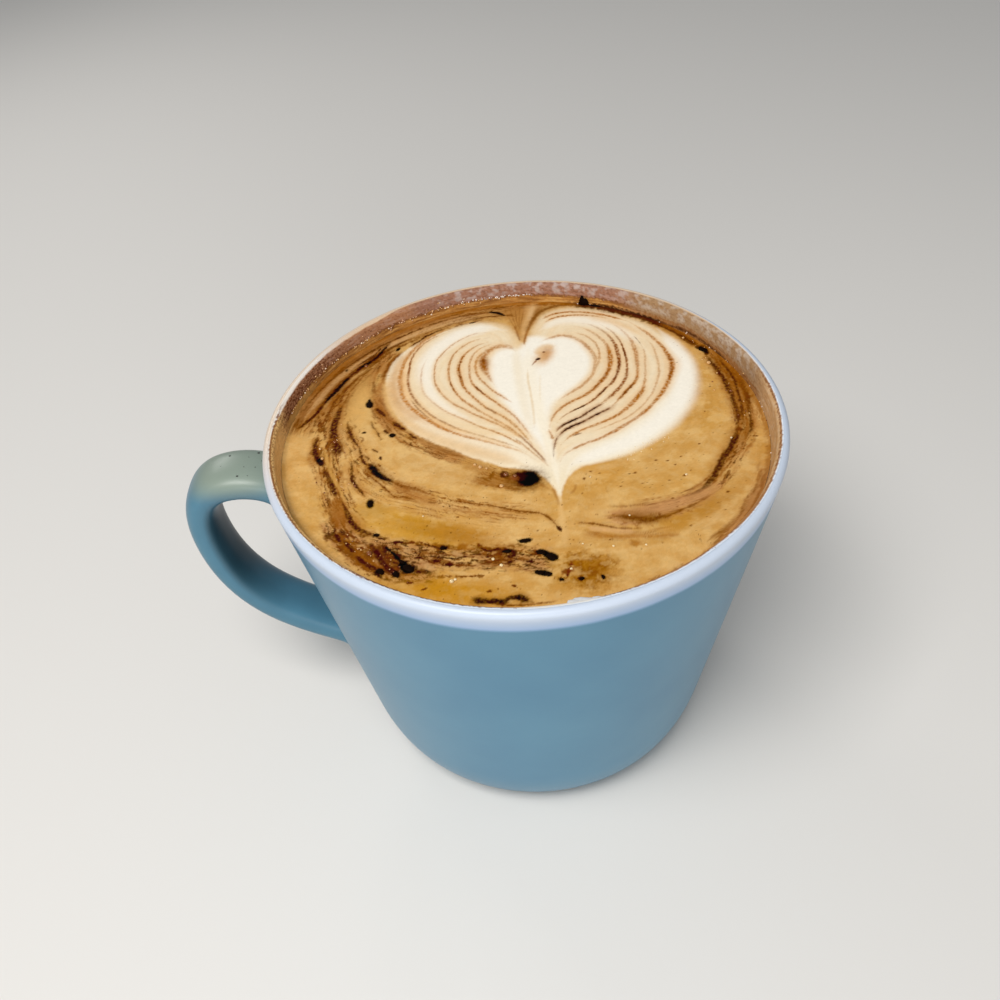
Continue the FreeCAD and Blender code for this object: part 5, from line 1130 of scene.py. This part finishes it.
cb.inputs["Base Color"].default_value = (*rgb(18, 6, 2), 1)
cb.inputs["Roughness"].default_value = 0.6
cb.inputs["Specular IOR Level"].default_value = 0.03
make_object("cocoa_lumps", np.vstack(C_V) * MM, np.vstack(C_F), co_m)

# a smear of white foam over the near lip
sv_, sf_ = [], []
for j_, (x_, y_, a_, b_, c_) in enumerate(((7.0, -47.35, 1.3, 0.55, 0.22), (8.9, -47.15, 1.6, 0.62, 0.26), (10.6, -46.85, 1.0, 0.45, 0.2), (7.9, -46.9, 1.2, 0.5, 0.2))):
    q_ = SV3 * (1 + 0.25 * noise2(SV3[:, 0] * 2 + 5 * j_, SV3[:, 1] * 2 + SV3[:, 2] * 1.3, 3000 + j_))[:, None] * np.array([a_, b_, c_])
    sf_.append(SF3 + len(SV3) * j_)
    sv_.append(q_ + np.array([x_, y_, 78.05]))
sm_m, _, _, sb = principled("foam_smear")
sb.inputs["Base Color"].default_value = (*rgb(206, 206, 206), 1)
sb.inputs["Roughness"].default_value = 0.35
make_object("foam_smear", np.vstack(sv_) * MM, np.vstack(sf_), sm_m)

# the body of the drink under the foam
dm, dn, dl, db = principled("latte_body")
db.inputs["Base Color"].default_value = (*rgb(176, 122, 66), 1)
db.inputs["Roughness"].default_value = 0.4
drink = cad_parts["latte"]
drink.data.materials.clear()
drink.data.materials.append(dm)

# ------------------------------------------------------------------ cup
def bez(p0, p1, p2, n):
    t = np.linspace(0, 1, n)[:, None]
    return (1 - t) ** 2 * np.array(p0) + 2 * t * (1 - t) * np.array(p1) + t ** 2 * np.array(p2)


prof = [np.array([[0.0, 1.6], [12.0, 1.6], [22.6, 1.6]]), np.array([[23.3, 1.55], [23.8, 1.2], [24.6, 0.35], [25.2, 0.02], [26.2, 0.0], [28.2, 0.0]])]
prof.append(bez((28.9, 0.02), (outer_r(0), 0.0), (outer_r(13.8), 13.8), 22))
zz = np.linspace(13.8, RIM_Z, 60)[1:]
prof.append(np.stack([outer_r(zz), zz], 1))
a = np.linspace(0, math.pi, 15)[1:]
prof.append(np.stack([RIM_R - LIP + LIP * np.cos(a), RIM_Z + LIP * np.sin(a)], 1))
zz = np.linspace(RIM_Z, 60, 26)[1:]
prof.append(np.stack([inner_r(zz), zz], 1))
zz = np.linspace(60, 19, 12)[1:]
prof.append(np.stack([inner_r(zz), zz], 1))
prof.append(bez((inner_r(19), 19), (inner_r(6.2) - 0.4, 6.2), (24, 6.2), 12)[1:])
prof.append(np.array([[12.0, 6.2], [0.0, 6.2]]))
prof = np.vstack(prof)
NS = 320
ang = np.linspace(0, 2 * math.pi, NS, endpoint=False)
verts = []
rows = []
for r_, z_ in prof:
    if r_ < 1e-6:
        rows.append([len(verts)] * NS)
        verts.append((0, 0, z_))
    else:
        rows.append(list(range(len(verts), len(verts) + NS)))
        verts.extend(zip(r_ * np.cos(ang), r_ * np.sin(ang), np.full(NS, z_)))
tris = []
for i in range(len(rows) - 1):
    A, B = rows[i], rows[i + 1]
    for j in range(NS):
        k = (j + 1) % NS
        if A[0] == A[1]:
            tris.append((A[j], B[k], B[j]))
        elif B[0] == B[1]:
            tris.append((A[j], A[k], B[j]))
        else:
            tris.append((A[j], A[k], B[k]))
            tris.append((A[j], B[k], B[j]))
cup_v = np.array(verts) * MM


def glaze_material(name, inner):
    m, n, l, b = principled(name)
    tc = n.new("ShaderNodeTexCoord")
    sep = n.new("ShaderNodeSeparateXYZ")
    l.new(tc.outputs["Object"], sep.inputs["Vector"])
    # glaze tone: slow cloudiness and a fine mottle
    no = n.new("ShaderNodeTexNoise")
    no.inputs["Scale"].default_value = 45
    no.inputs["Detail"].default_value = 4
    l.new(tc.outputs["Object"], no.inputs["Vector"])
    tone = n.new("ShaderNodeValToRGB")
    tone.color_ramp.elements[0].position = 0.3
    tone.color_ramp.elements[0].color = (*(BLUE_A if inner else HANDLE_SHADED_A), 1)
    tone.color_ramp.elements[1].position = 0.7
    tone.color_ramp.elements[1].color = (*(BLUE_B if inner else HANDLE_SHADED_B), 1)
    l.new(no.outputs["Fac"], tone.inputs["Fac"])
    col = tone.outputs["Color"]
    if inner:
        # blue stops a little under the lip; above it and inside the glaze is white
        nz = n.new("ShaderNodeTexNoise")
        nz.inputs["Scale"].default_value = 60
        nz.inputs["Detail"].default_value = 2
        l.new(tc.outputs["Object"], nz.inputs["Vector"])
        off = n.new("ShaderNodeMath")
        off.operation = "MULTIPLY_ADD"
        off.inputs[1].default_value = 0.0006
        l.new(nz.outputs["Fac"], off.inputs[0])
        l.new(sep.outputs["Z"], off.inputs[2])
        mrz = n.new("ShaderNodeMapRange")
        mrz.interpolation_type = "SMOOTHSTEP"
        mrz.inputs["From Min"].default_value = 0.0736
        mrz.inputs["From Max"].default_value = 0.0748
        l.new(off.outputs["Value"], mrz.inputs["Value"])
        # inside wall is any point nearer the axis than the middle of the wall
        xx = n.new("ShaderNodeMath"); xx.operation = "MULTIPLY"
        l.new(sep.outputs["X"], xx.inputs[0]); l.new(sep.outputs["X"], xx.inputs[1])
        yy = n.new("ShaderNodeMath"); yy.operation = "MULTIPLY_ADD"
        l.new(sep.outputs["Y"], yy.inputs[0]); l.new(sep.outputs["Y"], yy.inputs[1]); l.new(xx.outputs["Value"], yy.inputs[2])
        rr = n.new("ShaderNodeMath"); rr.operation = "SQRT"
        l.new(yy.outputs["Value"], rr.inputs[0])
        lim = n.new("ShaderNodeMath"); lim.operation = "MULTIPLY_ADD"
        lim.inputs[1].default_value = -0.19
        lim.inputs[2].default_value = 0.0
        l.new(sep.outputs["Z"], lim.inputs[0])
        rz = n.new("ShaderNodeMath"); rz.operation = "ADD"
        l.new(rr.outputs["Value"], rz.inputs[0]); l.new(lim.outputs["Value"], rz.inputs[1])
        ins = n.new("ShaderNodeMath"); ins.operation = "LESS_THAN"
        ins.inputs[1].default_value = 0.0338
        l.new(rz.outputs["Value"], ins.inputs[0])
        up = n.new("ShaderNodeMath"); up.operation = "GREATER_THAN"
        up.inputs[1].default_value = 0.004
        l.new(sep.outputs["Z"], up.inputs[0])
        both = n.new("ShaderNodeMath"); both.operation = "MULTIPLY"
        l.new(ins.outputs["Value"], both.inputs[0]); l.new(up.outputs["Value"], both.inputs[1])
        wh = n.new("ShaderNodeMath"); wh.operation = "MAXIMUM"
        l.new(both.outputs["Value"], wh.inputs[0]); l.new(mrz.outputs["Result"], wh.inputs[1])
        mx = n.new("ShaderNodeMix")
        mx.data_type = "RGBA"
        rim = n.new("ShaderNodeMapRange")
        rim.inputs["From Min"].default_value = 0.0742
        rim.inputs["From Max"].default_value = 0.0775
        l.new(off.outputs["Value"], rim.inputs["Value"])
        rt = n.new("ShaderNodeValToRGB")
        rt.color_ramp.elements[0].color = (*RIM_LOW, 1)
        rt.color_ramp.elements[1].color = (*WHITE, 1)
        l.new(rim.outputs["Result"], rt.inputs["Fac"])
        # painted reflection: the back of the lip is tinted warm, as if reflecting a warm surrounding
        back_lip_reflection = n.new("ShaderNodeMapRange")
        back_lip_reflection.interpolation_type = "SMOOTHSTEP"
        back_lip_reflection.inputs["From Min"].default_value = -0.004
        back_lip_reflection.inputs["From Max"].default_value = 0.030
        yx = n.new("ShaderNodeMath"); yx.operation = "MULTIPLY_ADD"
        yx.inputs[1].default_value = -0.5
        l.new(sep.outputs["X"], yx.inputs[0]); l.new(sep.outputs["Y"], yx.inputs[2])
        l.new(yx.outputs["Value"], back_lip_reflection.inputs["Value"])
        wm = n.new("ShaderNodeMix")
        wm.data_type = "RGBA"
        wm.inputs[7].default_value = (*rgb(222, 202, 180), 1)
        # only the top of the lip takes the painted warm reflection, not its outer band
        crown = n.new("ShaderNodeMapRange")
        crown.interpolation_type = "SMOOTHSTEP"
        crown.inputs["From Min"].default_value = 0.0771
        crown.inputs["From Max"].default_value = 0.0782
        l.new(sep.outputs["Z"], crown.inputs["Value"])
        wc = n.new("ShaderNodeMath"); wc.operation = "MULTIPLY"
        l.new(back_lip_reflection.outputs["Result"], wc.inputs[0]); l.new(crown.outputs["Result"], wc.inputs[1])
        l.new(wc.outputs["Value"], wm.inputs["Factor"])
        l.new(rt.outputs["Color"], wm.inputs[6])
        l.new(wm.outputs[2], mx.inputs[7])
        l.new(wh.outputs["Value"], mx.inputs["Factor"])
        l.new(col, mx.inputs[6])
        # bare clay on the foot ring
        ft = n.new("ShaderNodeMapRange")
        ft.interpolation_type = "SMOOTHSTEP"
        ft.inputs["From Min"].default_value = 0.0009
        ft.inputs["From Max"].default_value = 0.0003
        l.new(sep.outputs["Z"], ft.inputs["Value"])
        m2 = n.new("ShaderNodeMix")
        m2.data_type = "RGBA"
        m2.inputs[7].default_value = (*rgb(214, 206, 192), 1)
        l.new(ft.outputs["Result"], m2.inputs["Factor"])
        l.new(mx.outputs[2], m2.inputs[6])
        col = m2.outputs[2]
    if not inner:
        # painted reflection: the top of the strap is a warmer, greyer tone, standing in for the reflection it catches
        top = n.new("ShaderNodeMapRange")
        top.interpolation_type = "SMOOTHSTEP"
        top.inputs["From Min"].default_value = 0.0665
        top.inputs["From Max"].default_value = 0.0715
        l.new(sep.outputs["Z"], top.inputs["Value"])
        strap_top_reflection_mix = n.new("ShaderNodeMix")
        strap_top_reflection_mix.data_type = "RGBA"
        strap_top_reflection_mix.inputs[7].default_value = (*rgb(134, 147, 135), 1)
        l.new(top.outputs["Result"], strap_top_reflection_mix.inputs["Factor"])
        l.new(col, strap_top_reflection_mix.inputs[6])
        col = strap_top_reflection_mix.outputs[2]
    # painted shade: the 'shade' attribute darkens the inside of the handle loop towards a dark slate
    if not inner:
        sh = n.new("ShaderNodeAttribute")
        sh.attribute_name = "shade"
        m4 = n.new("ShaderNodeMix")
        m4.data_type = "RGBA"
        m4.inputs[7].default_value = (*rgb(16, 28, 30), 1)
        l.new(sh.outputs["Fac"], m4.inputs["Factor"])
        l.new(col, m4.inputs[6])
        col = m4.outputs[2]
    l.new(col, b.inputs["Base Color"])
    b.inputs["Roughness"].default_value = 0.34
    b.inputs["IOR"].default_value = 1.5
    b.inputs["Specular IOR Level"].default_value = 0.35
    b.inputs["Coat Weight"].default_value = 0.0
    b.inputs["Coat Roughness"].default_value = 0.2
    wob = n.new("ShaderNodeTexNoise")
    wob.inputs["Scale"].default_value = 140
    wob.inputs["Detail"].default_value = 2
    l.new(tc.outputs["Object"], wob.inputs["Vector"])
    bp = n.new("ShaderNodeBump")
    bp.inputs["Strength"].default_value = 0.05
    bp.inputs["Distance"].default_value = 0.0005
    l.new(wob.outputs["Fac"], bp.inputs["Height"])
    l.new(bp.outputs["Normal"], b.inputs["Normal"])
    return m


BLUE_A = rgb(82, 132, 160)
BLUE_B = rgb(90, 140, 166)
# painted shade: the handle's blue is a darker copy of the cup's glaze, standing in for the shade the handle sits in
HANDLE_SHADED_A = rgb(70, 114, 136)
HANDLE_SHADED_B = rgb(84, 132, 154)
WHITE = rgb(197, 208, 224)
RIM_LOW = rgb(150, 180, 218)
cup_mat = glaze_material("cup_glaze", True)
cup = make_object("cup_wall", cup_v, tris, cup_mat, replace=("cup",))

# ---- handle strap
path = np.array([(43.0, 61.2), (52.26, 68.45), (63.3, 67.25), (66.17, 53.79), (57.43, 34.46), (38.04, 22.0), (31.0, 18.6)])


def natural_spline(pts, n):
    s = np.concatenate([[0], np.cumsum(np.linalg.norm(np.diff(pts, axis=0), axis=1))])
    m = len(pts)
    h = np.diff(s)
    A = np.zeros((m, m))
    b = np.zeros((m, 2))
    A[0, 0] = A[-1, -1] = 1
    for i in range(1, m - 1):
        A[i, i - 1], A[i, i], A[i, i + 1] = h[i - 1], 2 * (h[i - 1] + h[i]), h[i]
        b[i] = 6 * ((pts[i + 1] - pts[i]) / h[i] - (pts[i] - pts[i - 1]) / h[i - 1])
    M = np.linalg.solve(A, b)
    t = np.linspace(0, s[-1], n)
    k = np.clip(np.searchsorted(s, t) - 1, 0, m - 2)
    a0, b0, hh = (s[k + 1] - t)[:, None], (t - s[k])[:, None], h[k][:, None]
    c = (M[k] * a0 ** 3 + M[k + 1] * b0 ** 3) / (6 * hh) + (pts[k] / hh - M[k] * hh / 6) * a0 + (pts[k + 1] / hh - M[k + 1] * hh / 6) * b0
    return c


cl = natural_spline(path, 150)
gap = cl[:, 0] - outer_r(cl[:, 1])
keep = gap > -4.6
first_k, last_k = np.argmax(keep), len(keep) - np.argmax(keep[::-1])
cl = cl[first_k:last_k]
tg = np.gradient(cl, axis=0)
tg /= np.linalg.norm(tg, axis=1)[:, None]
nm = np.stack([tg[:, 1], -tg[:, 0]], 1)
gap = cl[:, 0] - outer_r(cl[:, 1])
flare = 1 + 0.12 * np.exp(-np.maximum(gap - 0.2, 0) / 0.9)
M = 48
ta = np.linspace(0, 2 * math.pi, M, endpoint=False)
ca = np.sign(np.cos(ta)) * np.abs(np.cos(ta)) ** (2 / 2.6)
sa = np.sign(np.sin(ta)) * np.abs(np.sin(ta)) ** (2 / 2.6)
hv = []
for i in range(len(cl)):
    s_ = cl[i, 0] + sa * 3.33 * flare[i] * nm[i, 0]
    z_ = cl[i, 1] + sa * 3.33 * flare[i] * nm[i, 1]
    hv.append(np.stack([-s_, ca * 5.95 * flare[i], z_], 1))
# painted shade: the inside of the loop is darker towards its lower left, standing in for the shade there
run = np.linspace(0, 1, len(cl))[:, None]
facing = np.clip(np.broadcast_to(sa, (len(cl), M)), -1, 1)
side = 1.0 if nm[len(cl) // 2, 0] < 0 else -1.0
loop_shade = sstep(0.1, 0.8, facing * side) * (sstep(0.22, 0.38, run) * sstep(0.78, 0.50, run))
hv = np.vstack(hv)
# the strap's ends stay inside the wall's thickness
rv = np.hypot(hv[:, 0], hv[:, 1])
lim = outer_r(hv[:, 2]) - 1.5
q = rv < lim
hv[q, :2] *= (lim / rv)[q][:, None]
hv = hv * MM
n_r = len(cl)
hf = []
for i in range(n_r - 1):
    for j in range(M):
        k = (j + 1) % M
        hf.append((i * M + j, i * M + k, (i + 1) * M + k, (i + 1) * M + j))
handle_mat = glaze_material("handle_glaze", False)
handle = make_object("cup_handle", hv, hf, handle_mat)
set_float(handle.data, "shade", 0.78 * loop_shade.ravel())
import bmesh
bm = bmesh.new()
bm.from_mesh(handle.data)
bmesh.ops.holes_fill(bm, edges=[e for e in bm.edges if e.is_boundary])
bmesh.ops.recalc_face_normals(bm, faces=bm.faces)
bm.to_mesh(handle.data)
bm.free()
bm = bmesh.new()
bm.from_mesh(cup.data)
bmesh.ops.recalc_face_normals(bm, faces=bm.faces)
bm.to_mesh(cup.data)
bm.free()

# a few dark specks fired into the top of the strap
from mathutils.bvhtree import BVHTree
tree = BVHTree.FromPolygons([tuple(q) for q in hv], [tuple(q) for q in hf])
sp_v, sp_f = [], []
for x_, y_, r_ in ((-52.86, 3.21, 0.3), (-58.49, 2.25, 0.24), (-56.16, -3.76, 0.26), (-52.86, -1.4, 0.12), (-55.08, -1.47, 0.1), (-54.48, 1.52, 0.09), (-51.9, 0.64, 0.1), (-54.16, -3.67, 0.1), (-59.89, -0.68, 0.08), (-51.64, 4.96, 0.09)):
    hit, nrm, _, _ = tree.ray_cast((x_ * MM, y_ * MM, 0.1), (0, 0, -1))
    if hit is not None:
        sp_f.append(SF + len(SV) * len(sp_v))
        sp_v.append(SV * np.array([r_, r_ * 0.8, 0.07]) * MM + np.array(hit) + np.array(nrm) * np.sign(nrm[2]) * 0.03 * MM)
sk_m, _, _, skb = principled("glaze_specks")
skb.inputs["Base Color"].default_value = (*rgb(16, 16, 14), 1)
skb.inputs["Roughness"].default_value = 0.4
make_object("glaze_specks", np.vstack(sp_v), np.vstack(sp_f), sk_m)

# ------------------------------------------------------------------ stage and light
bpy.ops.mesh.primitive_plane_add(size=6, location=(0, 0, 0))
floor = bpy.context.object
floor.name = "floor"
fm, fn, fl, fb = principled("floor")
fb.inputs["Base Color"].default_value = (0.72, 0.70, 0.67, 1)
fb.inputs["Roughness"].default_value = 0.7
floor.data.materials.append(fm)

world = bpy.data.worlds.new("studio")
scene.world = world
world.use_nodes = True
bg = world.node_tree.nodes["Background"]
bg.inputs["Color"].default_value = (0.92, 0.96, 1.0, 1)
bg.inputs["Strength"].default_value = 0.245


def area(name, loc, target, size, power, color=(1, 1, 1)):
    ld = bpy.data.lights.new(name, "AREA")
    ld.shape = "RECTANGLE"
    ld.size = size[0]
    ld.size_y = size[1]
    ld.energy = power
    ld.color = color
    ob = bpy.data.objects.new(name, ld)
    scene.collection.objects.link(ob)
    ob.location = loc
    d = np.array(target) - np.array(loc)
    from mathutils import Vector
    ob.rotation_euler = Vector(d).to_track_quat("-Z", "Y").to_euler()
    return ob


area("key", (-0.16, -0.30, 0.64), (0, 0, 0.06), (0.40, 0.30), 4.45, (1.0, 0.985, 0.96))
area("front", (0.05, -0.75, 0.24), (0, 0, 0.04), (0.60, 0.30), 1.9, (1.0, 0.99, 0.98))
area("back", (-0.30, 0.42, 0.30), (0, 0, 0.07), (0.16, 0.12), 0.35, (1.0, 0.98, 0.95))
